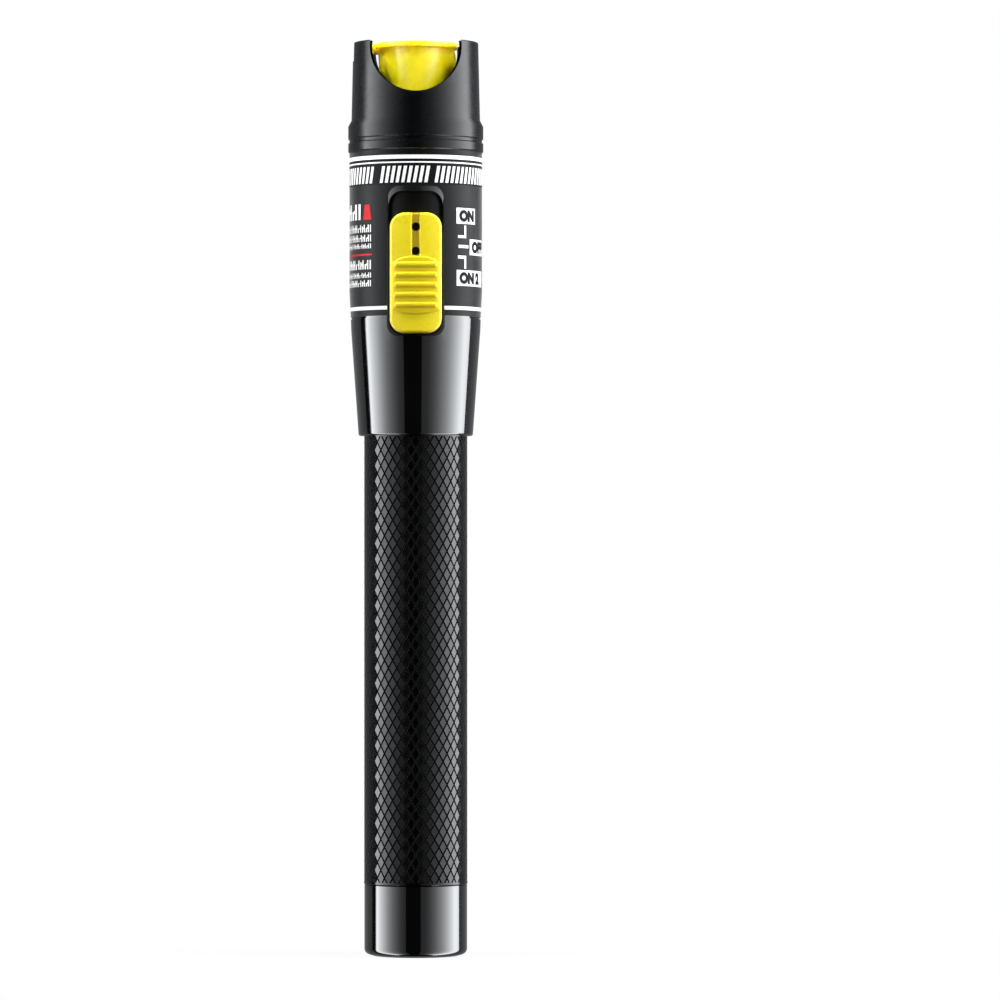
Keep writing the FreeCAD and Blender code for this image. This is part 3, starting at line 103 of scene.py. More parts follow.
class Shader:
    """A node material with one Principled shader, built up by short calls."""

    def __init__(self, name, **settings):
        self.material = bpy.data.materials.new(name)
        self.material.use_nodes = True
        self.tree = self.material.node_tree
        self.shader = next(n for n in self.tree.nodes if n.type == "BSDF_PRINCIPLED")
        for key, value in settings.items():
            socket = self.shader.inputs[key.replace("_", " ")]
            socket.default_value = (*value, 1) if socket.type == "RGBA" else value

    def node(self, kind, **settings):
        node = self.tree.nodes.new("ShaderNode" + kind)
        for key, value in settings.items():
            if hasattr(node, key):
                setattr(node, key, value)
            else:
                node.inputs[key.replace("_", " ")].default_value = value
        return node

    def link(self, source, target):
        self.tree.links.new(source, target)

    def place(self, stretch=(1, 1, 1)):
        """Object coordinates, stretched along the axes."""
        coordinates = self.node("TexCoord")
        mapping = self.node("Mapping")
        mapping.inputs["Scale"].default_value = stretch
        self.link(coordinates.outputs["Object"], mapping.inputs["Vector"])
        return mapping.outputs["Vector"]

    def noise(self, size, detail=3.0, stretch=(1, 1, 1)):
        """Noise whose features are about that many metres across."""
        noise = self.node("TexNoise", Scale=1 / size, Detail=detail)
        self.link(self.place(stretch), noise.inputs["Vector"])
        return noise.outputs["Fac"]

    def ramp(self, factor, low, high, bottom=NOISE_LOW, top=NOISE_HIGH):
        """Factor from bottom to top turned into a number from low to high."""
        spread = self.node("MapRange")
        for name, value in (("From Min", bottom), ("From Max", top), ("To Min", low), ("To Max", high)):
            spread.inputs[name].default_value = value
        self.link(factor, spread.inputs["Value"])
        return spread.outputs["Result"]

    def colours(self, factor, first, second):
        """Base colour that runs between two colours."""
        blend = self.node("ValToRGB")
        blend.color_ramp.elements[0].color = (*first, 1)
        blend.color_ramp.elements[1].color = (*second, 1)
        blend.color_ramp.elements[0].position = NOISE_LOW
        blend.color_ramp.elements[1].position = NOISE_HIGH
        self.link(factor, blend.inputs["Fac"])
        self.link(blend.outputs["Color"], self.shader.inputs["Base Color"])

    def roughness(self, factor, low, high):
        self.link(self.ramp(factor, low, high), self.shader.inputs["Roughness"])

    def relief(self, height, depth, normal=None):
        """Bump of that depth in metres from a height of 0 to 1, over another normal if there is one."""
        bump = self.node("Bump", Strength=1.0, Distance=depth)
        self.link(height, bump.inputs["Height"])
        if normal is not None:
            self.link(normal, bump.inputs["Normal"])
        self.link(bump.outputs["Normal"], self.shader.inputs["Normal"])


def moulded(name, colour, shade, rough, grain=GRAIN_SIZE, depth=GRAIN_DEPTH, **settings):
    """Moulded plastic: even colour with slight clouding and a fine grain."""
    look = Shader(name, **settings)
    look.colours(look.noise(CLOUD_SIZE), shade, colour)
    look.roughness(look.noise(MOTTLE_SIZE), rough - ROUGHNESS_SPREAD, rough + ROUGHNESS_SPREAD)
    look.relief(look.noise(grain, 2.0), depth)
    return look.material


def polished_black(name):
    """Gloss black anodised metal with a faint orange peel and hairline wear."""
    look = Shader(name, Specular_IOR_Level=0.55, Coat_Weight=0.35, Coat_Roughness=0.03)
    look.colours(look.noise(6 * MM), (0.0008, 0.0008, 0.0009), (0.0016, 0.0016, 0.0018))
    look.roughness(look.noise(0.5 * MM, 4.0, (1, 1, 0.15)), 0.045, 0.085)
    look.relief(look.noise(4 * MM, 1.0, (1, 1, 0.3)), 0.0010 * MM)
    return look.material


def head_black():
    """Moulded plastic of the head, with the gentle slope under its flange shaded as if upright."""
    look = Shader("head_black", Specular_IOR_Level=0.23)
    look.colours(look.noise(CLOUD_SIZE), (0.0007, 0.0009, 0.0012), (0.0010, 0.0012, 0.0017))
    look.roughness(look.noise(MOTTLE_SIZE), 0.24, 0.29)
    place = look.node("SeparateXYZ")
    look.link(look.place(), place.inputs[0])
    slope = look.node("Math", operation="COMPARE")
    look.link(place.outputs["Z"], slope.inputs[0])
    slope.inputs[1].default_value = FLANGE_SLOPE
    slope.inputs[2].default_value = FLANGE_SLOPE_HALF
    upright = look.node("Math", operation="SUBTRACT")
    upright.inputs[0].default_value = 1.0
    look.link(slope.outputs[0], upright.inputs[1])
    flatten = look.node("CombineXYZ", X=1.0, Y=1.0)
    look.link(upright.outputs[0], flatten.inputs["Z"])
    facing = look.node("VectorMath", operation="MULTIPLY")
    look.link(look.node("NewGeometry").outputs["Normal"], facing.inputs[0])
    look.link(flatten.outputs["Vector"], facing.inputs[1])
    unit = look.node("VectorMath", operation="NORMALIZE")
    look.link(facing.outputs["Vector"], unit.inputs[0])
    look.relief(look.noise(GRAIN_SIZE, 2.0), GRAIN_DEPTH, unit.outputs["Vector"])
    return look.material


def knurled_black():
    """Anodised knurl: glossy flat tops with fine tool marks."""
    look = Shader("knurl_black", Specular_IOR_Level=0.28)
    look.colours(look.noise(0.8 * MM), (0.0004, 0.0004, 0.0005), (0.0010, 0.0010, 0.0011))
    look.roughness(look.noise(0.4 * MM, 4.0), 0.09, 0.16)
    look.relief(look.noise(0.16 * MM, 3.0), 0.003 * MM)
    return look.material


def turned_metal(name, colour, shade, rough):
    """Bright turned metal with fine rings about the pen's axis."""
    look = Shader(name, Metallic=1.0)
    look.colours(look.noise(1.5 * MM), shade, colour)
    look.roughness(look.noise(0.3 * MM, 2.0, (0.1, 0.1, 1)), rough, rough + 0.12)
    look.relief(look.noise(0.15 * MM, 2.0, (0.05, 0.05, 1)), 0.003 * MM)
    return look.material


def label_film():
    """Dark printed film: satin, with a barely visible texture of the laminate."""
    look = Shader("label_film", Specular_IOR_Level=0.09, Sheen_Weight=0.6, Sheen_Roughness=0.32)
    look.colours(look.noise(12 * MM), (0.0018, 0.0020, 0.0026), (0.0025, 0.0028, 0.0034))
    look.roughness(look.noise(1.2 * MM), 0.38, 0.44)
    look.relief(look.noise(0.10 * MM, 2.0), 0.002 * MM)
    return look.material


def print_ink(name, colour, shade, specular=0.5):
    """Screen-printed ink with small gaps in its cover."""
    look = Shader(name, Specular_IOR_Level=specular)
    look.colours(look.noise(0.35 * MM, 5.0), shade, colour)
    look.roughness(look.noise(0.8 * MM), 0.42, 0.52)
    look.relief(look.noise(0.12 * MM, 2.0), 0.002 * MM)
    return look.material


def circuit_green():
    look = Shader("solder_mask", Roughness=0.35)
    look.colours(look.noise(1.2 * MM, 6.0, (1, 1, 0.3)), (0.008, 0.09, 0.03), (0.015, 0.16, 0.05))
    look.relief(look.noise(0.5 * MM), 0.01 * MM)
    return look.material


def cell_sleeve():
    look = Shader("cell_sleeve", Metallic=0.6)
    look.colours(look.noise(14 * MM, 1.0, (0.2, 0.2, 1)), (0.05, 0.05, 0.055), (0.75, 0.55, 0.16))
    look.roughness(look.noise(1 * MM), 0.25, 0.35)
    return look.material


def clear_glass():
    look = Shader("lens_glass", Transmission_Weight=1.0, IOR=1.5)
    look.colours(look.noise(2 * MM), (0.92, 0.96, 1.0), (0.97, 0.98, 1.0))
    look.roughness(look.noise(1 * MM), 0.0, 0.02)
    return look.material


BLACK_GLOSS = polished_black("black_gloss")
LABEL = label_film()
HEAD_BLACK = head_black()
COLLAR_BLACK = moulded("collar_black", (0.0010, 0.0012, 0.0017), (0.0007, 0.0009, 0.0012), 0.26,
                       Specular_IOR_Level=0.23)
KNURL_BLACK = knurled_black()
GROOVE_BLACK = moulded("groove_black", (0.0010, 0.0010, 0.0011), (0.0007, 0.0007, 0.0008), 0.5,
                       Specular_IOR_Level=0.06)
TRACK_BLACK = moulded("track_black", (0.0012, 0.0012, 0.0014), (0.0008, 0.0008, 0.0010), 0.36,
                      Specular_IOR_Level=0.2)
BEZEL_SATIN = moulded("bezel_satin", (0.0030, 0.0031, 0.0034), (0.0022, 0.0023, 0.0025), 0.22,
                      Specular_IOR_Level=1.0, Coat_Weight=0.5, Coat_Roughness=0.18)
RUBBER = moulded("rubber_black", (0.006, 0.006, 0.006), (0.004, 0.004, 0.004), 0.7, 0.2 * MM, 0.01 * MM)
SLIDER_YELLOW = moulded("slider_yellow", (0.79, 0.645, 0.010), (0.76, 0.62, 0.009), 0.28,
                        Specular_IOR_Level=0.5)
# The pad is the slider's own yellow plastic: its rougher finish is real, and its darker colour is painted
# shade of the ribbed area.
PAD_SHADED_YELLOW = moulded("pad_yellow_painted_shade", (0.73, 0.555, 0.005), (0.70, 0.53, 0.004), 0.42,
                     Specular_IOR_Level=0.3)
# The channel's darker amber is painted shade of its recess.
CHANNEL_SHADE_AMBER = moulded("channel_amber_painted_shade", (0.46, 0.33, 0.008), (0.40, 0.28, 0.006), 0.5,
                        Specular_IOR_Level=0.3)
CAP_YELLOW = moulded("cap_yellow", (0.88, 0.72, 0.008), (0.86, 0.69, 0.007), 0.28,
                     Specular_IOR_Level=0.8, Coat_Weight=0.3, Coat_Roughness=0.22,
                     Subsurface_Weight=0.7, Subsurface_Scale=3 * MM, Subsurface_Radius=(1.0, 0.85, 0.15))
WHITE_PLASTIC = moulded("white_plastic", (0.8, 0.8, 0.78), (0.74, 0.74, 0.72), 0.4)
CERAMIC = moulded("white_ceramic", (0.86, 0.86, 0.83), (0.8, 0.8, 0.77), 0.2)
WHITE_INK = print_ink("white_ink", (0.92, 0.92, 0.92), (0.87, 0.87, 0.87), 0.2)
RED_INK = print_ink("red_ink", (0.50, 0.020, 0.020), (0.42, 0.016, 0.016), 0.12)
DARK_INK_AND_SHADE = print_ink("dark_ink_and_painted_shade", (0.006, 0.006, 0.007), (0.004, 0.004, 0.005), 0.05)
STEEL = turned_metal("steel", (0.62, 0.62, 0.63), (0.5, 0.5, 0.51), 0.25)
BRASS = turned_metal("brass", (0.80, 0.60, 0.25), (0.7, 0.5, 0.2), 0.25)
NICKEL = turned_metal("nickel", (0.72, 0.71, 0.69), (0.62, 0.61, 0.59), 0.18)

NODE_MATERIALS = {
    "tail_cap": BLACK_GLOSS, "body_shell": BLACK_GLOSS, "grip_tube": KNURL_BLACK, "label_wrap": LABEL,
    "collar_ring": COLLAR_BLACK, "collar_gasket": COLLAR_BLACK, "head_shroud": HEAD_BLACK,
    "switch_bezel": TRACK_BLACK, "slider_dot_upper": TRACK_BLACK, "slider_dot_lower": TRACK_BLACK,
    "thumb_slider": SLIDER_YELLOW, "dust_cap": CAP_YELLOW, "switch_carriage": TRACK_BLACK,
    "contact_holder": TRACK_BLACK, "chassis": TRACK_BLACK, "driver_chip": TRACK_BLACK,
    "switch_lever": WHITE_PLASTIC, "split_sleeve": CERAMIC, "tail_o_ring": RUBBER, "grip_o_ring": RUBBER,
    "tail_contact_plate": STEEL, "tail_spring": STEEL, "board_screw_lower": STEEL,
    "board_screw_upper": STEEL, "hinge_pin": STEEL, "slide_switch": STEEL, "capacitor": STEEL,
    "positive_contact": BRASS, "laser_housing": BRASS, "laser_diode": BRASS, "port_nozzle": NICKEL,
    "lens_ring": NICKEL, "battery_lower": cell_sleeve(), "battery_upper": cell_sleeve(),
    "circuit_board": circuit_green(), "lens": clear_glass(),
}

for name, node in nodes.items():
    node.data.materials.clear()
    node.data.materials.append(NODE_MATERIALS[name])


# Helpers for pieces

def as_mesh(flat, name):
    mesh = bpy.data.meshes.new(name)
    flat.to_mesh(mesh)
    flat.free()
    return mesh


def add_piece(name, mesh, material, body):
    piece = bpy.data.objects.new(name, mesh)
    bpy.context.scene.collection.objects.link(piece)
    mesh.materials.append(material)
    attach(piece, body)
    return piece


def label_radius(height):
    """Radius of the label's face at a height."""
    if height >= LABEL_FULL:
        return BODY_RADIUS
    share = (height - LABEL_FOOT) / (LABEL_FULL - LABEL_FOOT)
    return LABEL_FOOT_RADIUS + (BODY_RADIUS - LABEL_FOOT_RADIUS) * share


WRAP_STEP = 0.6 * MM


def wrap(flat, name, material, lift=PRINT_LIFT):
    """Bends a flat drawing, in metres across and up, round the label, and adds it as a piece.
    Zero across is the front of the pen, and positive runs to the right."""
    left = min(vertex.co.x for vertex in flat.verts)
    right = max(vertex.co.x for vertex in flat.verts)
    cuts = int((right - left) / WRAP_STEP)
    for index in range(1, cuts + 1):
        across = left + index * WRAP_STEP
        geometry = flat.verts[:] + flat.edges[:] + flat.faces[:]
        bmesh.ops.bisect_plane(flat, geom=geometry, plane_co=(across, 0, 0), plane_no=(1, 0, 0))
    for vertex in flat.verts:
        angle = vertex.co.x / BODY_RADIUS
        radius = label_radius(vertex.co.y) + lift
        vertex.co = Vector((radius * math.sin(angle), -radius * math.cos(angle), vertex.co.y))
    for face in flat.faces:
        outward = Vector((face.calc_center_median().x, face.calc_center_median().y, 0))
        if face.normal.dot(outward) < 0:
            face.normal_flip()
        face.smooth = True
    return add_piece(name, as_mesh(flat, name), material, "pen")


def quad(flat, corners):
    """Adds one face through points given in millimetres across and up."""
    flat.faces.new([flat.verts.new((across * MM, up * MM, 0)) for across, up in corners])


def bar(flat, left, right, low, high, slant=0.0):
    """Adds an upright or slanted bar, in millimetres."""
    quad(flat, [(left, low), (right, low), (right + slant, high), (left + slant, high)])


def across_of(angle):
    """Millimetres across the label for an angle from the front, in degrees."""
    return math.radians(angle) * BODY_RADIUS / MM


# Printed label: bands, a row of slanted bars, switch positions on the right, rows of ticks on the left

# Half the width that the print leaves free for the switch track, and the inner edge and the top of the dark
# strips along it, which are painted shade at the slot's edges
SLOT_HALF = 5.58
SLOT_SHADE_EDGE = 5.38
SLOT_EDGE_TOP = 144.8
# Lower and upper edges of the bands, of the hem that the track interrupts and of the header's ground
BANDS = ((152.12, 152.87), (151.33, 151.6))
HEM = (123.5, 124.2)
GROUND = (147.3, 152.5)


def print_bands():
    half = across_of(180)
    flat = bmesh.new()
    for low, high in BANDS:
        bar(flat, -half, half, low, high)
    bar(flat, -half, -SLOT_HALF, *HEM)
    bar(flat, SLOT_HALF, half, *HEM)
    wrap(flat, "print_bands", WHITE_INK)
    ground = bmesh.new()
    bar(ground, -half, half, *GROUND)
    # Dark strips beside the slot: painted shade along its edges, added to the print's dark ground.
    for side in (-1, 1):
        edges = sorted((side * SLOT_SHADE_EDGE, side * SLOT_HALF))
        bar(ground, *edges, LABEL_FOOT / MM, SLOT_EDGE_TOP)
    wrap(ground, "print_ground_and_slot_shade", DARK_INK_AND_SHADE, lift=GROUND_LIFT)


# Groups of slanted bars above the switch: where each group starts and how many bars it has
HEADER_GROUPS = ((-37.0, 12), (-21.8, 12), (-7.2, 9), (3.6, 14), (20.6, 12))
HEADER_LEVELS = (147.6, 150.75)
HEADER_PITCH = 1.1
HEADER_BAR = 0.62
HEADER_SLANT = 0.55


def print_header():
    flat = bmesh.new()
    for left, count in HEADER_GROUPS:
        for index in range(count):
            start = left + index * HEADER_PITCH
            bar(flat, start, start + HEADER_BAR, *HEADER_LEVELS, slant=HEADER_SLANT)
    wrap(flat, "print_header", WHITE_INK)


# Height of the plain words, their distance from the left edge of their box, and how much they are thickened
LETTERING_HEIGHT = 2.3
LETTERING_INSET = 0.65
LETTERING_WEIGHT = 0.085


def lettering(flat, text, left, low, height):
    """Adds a plain word from the default font, starting at that place, in millimetres."""
    curve = bpy.data.curves.new("lettering", "FONT")
    curve.body = text
    curve.resolution_u = 4
    curve.offset = LETTERING_WEIGHT
    holder = bpy.data.objects.new("lettering", curve)
    mesh = bpy.data.meshes.new_from_object(holder)
    lowest = min(vertex.co.y for vertex in mesh.vertices)
    tallest = max(vertex.co.y for vertex in mesh.vertices)
    leftmost = min(vertex.co.x for vertex in mesh.vertices)
    scale = height / (tallest - lowest)
    shift = left - scale * leftmost
    place = Matrix.Translation((shift * MM, (low - scale * lowest) * MM, 0)) @ Matrix.Scale(scale * MM, 4)
    mesh.transform(place)
    flat.from_mesh(mesh)
    bpy.data.meshes.remove(mesh)
    bpy.data.objects.remove(holder)
    bpy.data.curves.remove(curve)


# Switch positions: angle from, angle to, middle height and plain lettering
POSITIONS = ((37.4, 62.2, 141.43, "ON"), (53.7, 80.3, 135.55, "OFF"), (37.6, 78.6, 129.6, "ON 2"))
POSITION_HEIGHT = 3.02
# Lines between them: the angles where they start and turn, their width, and their lower and upper edges
LINE_ANGLES = (39.1, 46.6)
LINE_WIDTH = 0.5
LEVEL_LINES = ((137.2, 137.72), (133.28, 133.85))
UPRIGHT_LINES = ((137.72, 139.6), (131.4, 133.28))
MIDDLE_LINE = (135.3, 135.88)
MIDDLE_LINE_SHIFTS = (0.15, 1.15)


def print_positions():
    boxes = bmesh.new()
    numerals = bmesh.new()
    for first, last, level, text in POSITIONS:
        left, right = across_of(first), across_of(last)
        bar(boxes, left, right, level - POSITION_HEIGHT / 2, level + POSITION_HEIGHT / 2)
        low = level - LETTERING_HEIGHT / 2
        lettering(numerals, text, left + LETTERING_INSET, low, LETTERING_HEIGHT)
    start, corner = (across_of(angle) for angle in LINE_ANGLES)
    for low, high in LEVEL_LINES:
        bar(boxes, start, corner + LINE_WIDTH, low, high)
    for low, high in UPRIGHT_LINES:
        bar(boxes, corner, corner + LINE_WIDTH, low, high)
    bar(boxes, start + MIDDLE_LINE_SHIFTS[0], corner + MIDDLE_LINE_SHIFTS[1], *MIDDLE_LINE)
    wrap(boxes, "print_positions", WHITE_INK)
    lifted = wrap(numerals, "print_numerals", DARK_INK_AND_SHADE)
    for vertex in lifted.data.vertices:
        vertex.co.x *= 1 + PRINT_LIFT / BODY_RADIUS
        vertex.co.y *= 1 + PRINT_LIFT / BODY_RADIUS


# Rows of plain ticks in place of small print: middle height, height, width and gap of the ticks
ROWS = (
    (142.25, 3.0, 0.75, 0.62),
    (139.05, 1.45, 0.27, 0.30),
    (137.2, 1.3, 0.25, 0.28),
    (135.7, 0.9, 0.22, 0.26),
    (132.15, 1.75, 0.36, 0.32),
    (130.15, 1.0, 0.22, 0.26),
    (128.6, 1.2, 0.28, 0.28),
)
ROWS_EDGE = -42.0
ROWS_LENGTH = 10.5
FIRST_ROW_INSET = 3.0
# Share of the row's height that successive ticks take, and how many ticks make a group
TICK_HEIGHTS = (1.0, 1.0, 0.55, 1.0, 0.8, 1.0, 0.6, 1.0, 1.0, 0.75, 1.0)
TICK_GROUP = 6
# Lower and upper ends, as shares of the row's height, of the joint between every other pair of ticks
TICK_JOINT = (0.42, 0.62)
# Red line and mark, measured from the rows' right edge
RED_LINE_ENDS = (-8.6, 0.2)
RED_LINE_LEVELS = (133.9, 134.25)
RED_MARK = ((-2.15, 140.7), (0.1, 140.7), (-0.35, 143.6), (-1.7, 143.6))


def print_rows():
    flat = bmesh.new()
    edge = across_of(ROWS_EDGE)
    for level, height, width, gap in ROWS:
        right = edge - (FIRST_ROW_INSET if level == ROWS[0][0] else 0.0)
        index = 0
        while right > edge - ROWS_LENGTH:
            low = level - height / 2
            bar(flat, right - width, right, low, low + height * TICK_HEIGHTS[index % len(TICK_HEIGHTS)])
            if index % 2:
                joint = [low + height * share for share in TICK_JOINT]
                bar(flat, right - width - gap, right - width, *joint)
            index += 1
            right -= width + gap * (2 if index % TICK_GROUP == 0 else 1)
    wrap(flat, "print_rows", WHITE_INK)
    accent = bmesh.new()
    left, right = (edge + end for end in RED_LINE_ENDS)
    bar(accent, left, right, *RED_LINE_LEVELS)
    quad(accent, [(edge + across, up) for across, up in RED_MARK])
    wrap(accent, "print_accent", RED_INK)


# Knurl: flat-topped diamonds on the grip between two plain ends

KNURL_FOOT = 14.3 * MM
KNURL_TOP = 99.5 * MM
KNURL_COUNT = 34
KNURL_PITCH = 2.969 * MM
# Half rows by which the pattern starts below the foot, and the grooves' share of the pitch
KNURL_PHASE = 1.39
GROOVE_SHARE = 0.22
# Rows of diamonds beyond the two ends, where the pattern is cut off
SPARE_ROWS = 4
WELD_DISTANCE = 1e-6


def make_knurl():
    flat = bmesh.new()
    step = 2 * math.pi / KNURL_COUNT
    rows = int((KNURL_TOP - KNURL_FOOT) / (KNURL_PITCH / 2)) + SPARE_ROWS
    root = GRIP_RADIUS - KNURL_DEPTH
    top_share = 1 - GROOVE_SHARE
    flat_radius = GRIP_RADIUS * math.cos(step / 2 * top_share)
    ways = ((1, 0), (0, 1), (-1, 0), (0, -1))

    def spot(angle, height, radius):
        return flat.verts.new((radius * math.sin(angle), -radius * math.cos(angle), height))

    for row in range(rows):
        height = KNURL_FOOT + (row - KNURL_PHASE) * KNURL_PITCH / 2
        for column in range(KNURL_COUNT):
            angle = (column + 0.5 * (row % 2)) * step
            outer = [spot(angle + x * step / 2, height + y * KNURL_PITCH / 2, root) for x, y in ways]
            inner = [spot(angle + x * step / 2 * top_share, height + y * KNURL_PITCH / 2 * top_share,
                          GRIP_RADIUS if x else flat_radius) for x, y in ways]
            for index in range(4):
                following = (index + 1) % 4
                side = flat.faces.new((outer[index], outer[following], inner[following], inner[index]))
                side.material_index = 1
            flat.faces.new(inner)
    bmesh.ops.remove_doubles(flat, verts=flat.verts, dist=WELD_DISTANCE)
    for height, direction in ((KNURL_FOOT, -1), (KNURL_TOP, 1)):
        geometry = flat.verts[:] + flat.edges[:] + flat.faces[:]
        bmesh.ops.bisect_plane(flat, geom=geometry, plane_co=(0, 0, height), plane_no=(0, 0, direction),
                               clear_outer=True)
    mesh = as_mesh(flat, "knurled_grip")
    add_piece("knurled_grip", mesh, KNURL_BLACK, "pen")
    mesh.materials.append(GROOVE_BLACK)


# Thumb slider: a fine surface over the solid's outline, with the pad, its ribs and the channel, whose
# darker colours are painted shade

SLIDER_FOOT = 118.93
SLIDER_TOP = 141.75
SLIDER_HALF = 4.95
SLIDER_CORNER = 2.8
SLIDER_FACE = 14.925
SLIDER_BACK = 11.975
SLIDER_EDGE = 0.5
PAD_HALF = 4.45
PAD_FOOT = 123.3
PAD_TOP = 133.2
PAD_BULGE = 0.9
PAD_CREST = 0.3
PAD_ARCH = 1.3
PAD_RELIEF = 0.2
RIB_FOOT = 122.97
RIB_PITCH = 1.912
RIB_COUNT = 5
RIB_HALF = 4.05
RIB_HEIGHT = 0.26
CHANNEL_HALF = 0.75
CHANNEL_DEPTH = 0.3
DOT_LEVELS = (134.45, 139.05)
DOT_RADIUS = 0.75
DOT_DEPTH = 0.35
# Where the slopes at the edges of the pad, the ribs and the channel start and end, and half the width of
# the walls of the channel and the dots
SLOPE_START = -0.05
PAD_SLOPE = 0.25
RIB_SLOPE = 0.3
CHANNEL_SLOPE = 0.3
WALL_HALF = 0.06
# Rising and falling parts of a rib, as shares of the pitch
RIB_RISE = (0.30, 0.58)
RIB_FALL = (0.78, 0.97)
# Spacing of the fine surface's points, the distance from both ends where they lie closer, and how close
COLUMN_SPACING = (0.022, 0.12, 0.011)
ROW_SPACING = (0.075, 0.6, 0.04)


def ease(value, low, high):
    """Smooth step from 0 at low to 1 at high."""
    share = min(max((value - low) / (high - low), 0.0), 1.0)
    return share * share * (3 - 2 * share)


def slider_half(level):
    """Half the slider's width at a height."""
    end = min(level - SLIDER_FOOT, SLIDER_TOP - level)
    if end >= SLIDER_CORNER:
        return SLIDER_HALF
    inside = SLIDER_CORNER - end
    return SLIDER_HALF - SLIDER_CORNER + math.sqrt(max(SLIDER_CORNER ** 2 - inside ** 2, 0.0))


def edge_distance(across, level):
    """Distance from the slider's outline, inwards."""
    side = SLIDER_HALF - abs(across)
    end = min(level - SLIDER_FOOT, SLIDER_TOP - level)
    if side < SLIDER_CORNER and end < SLIDER_CORNER:
        return SLIDER_CORNER - math.hypot(SLIDER_CORNER - side, SLIDER_CORNER - end)
    return min(side, end)


def rib_profile(rise):
    """Height of the ribs, from 0 to 1, at a height above the lowest one's foot."""
    index = math.floor(rise / RIB_PITCH)
    if index < 0 or index >= RIB_COUNT:
        return 0.0
    share = (rise - index * RIB_PITCH) / RIB_PITCH
    return ease(share, *RIB_RISE) * (1 - ease(share, *RIB_FALL))


def slider_surface(across, level):
    """Height over the slider's face, and which material the spot has; the pad's and the channel's darker
    colours are painted shade.
    """
    height, kind = 0.0, 0
    share = min(abs(across) / PAD_HALF, 1.0)
    foot = PAD_FOOT - PAD_BULGE * (1 - share ** 2)
    top = PAD_TOP + PAD_CREST - PAD_ARCH * share ** 3
    inside = min(PAD_HALF - abs(across), level - foot, top - level)
    if inside > SLOPE_START:
        height += PAD_RELIEF * ease(inside, SLOPE_START, PAD_SLOPE)
        # The pad takes the darker yellow, painted shade of the ribbed area.
        kind = 1
        rib_end = ease(RIB_HALF - abs(across), SLOPE_START, RIB_SLOPE)
        height += RIB_HEIGHT * rib_profile(level - RIB_FOOT) * rib_end
    if level > top:
        wall = ease(CHANNEL_HALF - abs(across), -WALL_HALF, WALL_HALF)
        height -= CHANNEL_DEPTH * wall * ease(level - top, 0.0, CHANNEL_SLOPE)
        # The channel's floor takes the darker amber, painted shade of the recess.
        if abs(across) < CHANNEL_HALF - WALL_HALF / 2:
            kind = 2
    for dot in DOT_LEVELS:
        near = math.hypot(across, level - dot)
        if near < DOT_RADIUS + WALL_HALF:
            height -= DOT_DEPTH * (1 - ease(near, DOT_RADIUS - WALL_HALF, DOT_RADIUS + WALL_HALF))
            if near < DOT_RADIUS:
                kind = 3
    depth = min(max(edge_distance(across, level), 0.0), SLIDER_EDGE)
    height -= SLIDER_EDGE - math.sqrt(SLIDER_EDGE ** 2 - (SLIDER_EDGE - depth) ** 2)
    return height, kind


def spread(low, high, step, edge, fine):
    """Positions from low to high, closer together within edge of both ends."""
    places = [low]
    while places[-1] < high - 1e-6:
        near = min(places[-1] - low, high - places[-1])
        places.append(min(places[-1] + (fine if near < edge else step), high))
    return places


def make_slider_face():
    flat = bmesh.new()
    columns = spread(-1.0, 1.0, *COLUMN_SPACING)
    rows = spread(SLIDER_FOOT, SLIDER_TOP, *ROW_SPACING)
    grid = []
    for level in rows:
        half = slider_half(level)
        line = []
        for column in columns:
            across = column * half
            height, kind = slider_surface(across, level)
            depth = math.sqrt((SLIDER_FACE + height) ** 2 - across ** 2)
            line.append((flat.verts.new((across * MM, -depth * MM, level * MM)), kind))
        grid.append(line)
    for row, following in zip(grid, grid[1:]):
        for index in range(len(columns) - 1):
            corners = (row[index], row[index + 1], following[index + 1], following[index])
            face = flat.faces.new([corner[0] for corner in corners])
            face.material_index = max(corner[1] for corner in corners)
            face.smooth = True
    border = [spot[0] for spot in grid[0]] + [line[-1][0] for line in grid[1:]]
    border += [spot[0] for spot in reversed(grid[-1][:-1])] + [line[0][0] for line in reversed(grid[1:-1])]
    inner = []
    for vertex in border:
        across = vertex.co.x / MM
        depth = math.sqrt(SLIDER_BACK ** 2 - across ** 2)
        inner.append(flat.verts.new((vertex.co.x, -depth * MM, vertex.co.z)))
    count = len(border)
    for index in range(count):
        following = (index + 1) % count
        flat.faces.new((border[following], border[index], inner[index], inner[following]))
    flat.faces.new(inner)
    mesh = as_mesh(flat, "slider_face")
    piece = add_piece("slider_face", mesh, SLIDER_YELLOW, "slider")
    for material in (PAD_SHADED_YELLOW, CHANNEL_SHADE_AMBER, TRACK_BLACK):
        mesh.materials.append(material)
    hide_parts("thumb_slider")


# Dust cap: the solid's own shape, sitting slightly to one side as such a loose cap does

CAP_FLANGE_FOOT = 173.5
CAP_ARM_END = -9.3
CAP_ARM_START = -8.3
CAP_BODY_SHIFT = 0.3
CAP_FLANGE_SHIFT = 0.08
CAP_FLANGE_SCALE = 0.972
CAP_DROP = 0.12


def make_cap():
    source = nodes["dust_cap"]
    mesh = source.data.copy()
    mesh.transform(source.matrix_world)
    mesh.materials.clear()
    for vertex in mesh.vertices:
        across, up = vertex.co.x / MM, vertex.co.z / MM
        share = ease(across, CAP_ARM_END, CAP_ARM_START)
        if up < CAP_FLANGE_FOOT:
            shift = CAP_BODY_SHIFT
        else:
            shift = CAP_FLANGE_SHIFT - across * (1 - CAP_FLANGE_SCALE)
            vertex.co.y *= 1 - share * (1 - CAP_FLANGE_SCALE)
        vertex.co.x += shift * share * MM
        vertex.co.z -= CAP_DROP * share * MM
    piece = add_piece("cap_face", mesh, CAP_YELLOW, "cap")
    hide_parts("dust_cap")


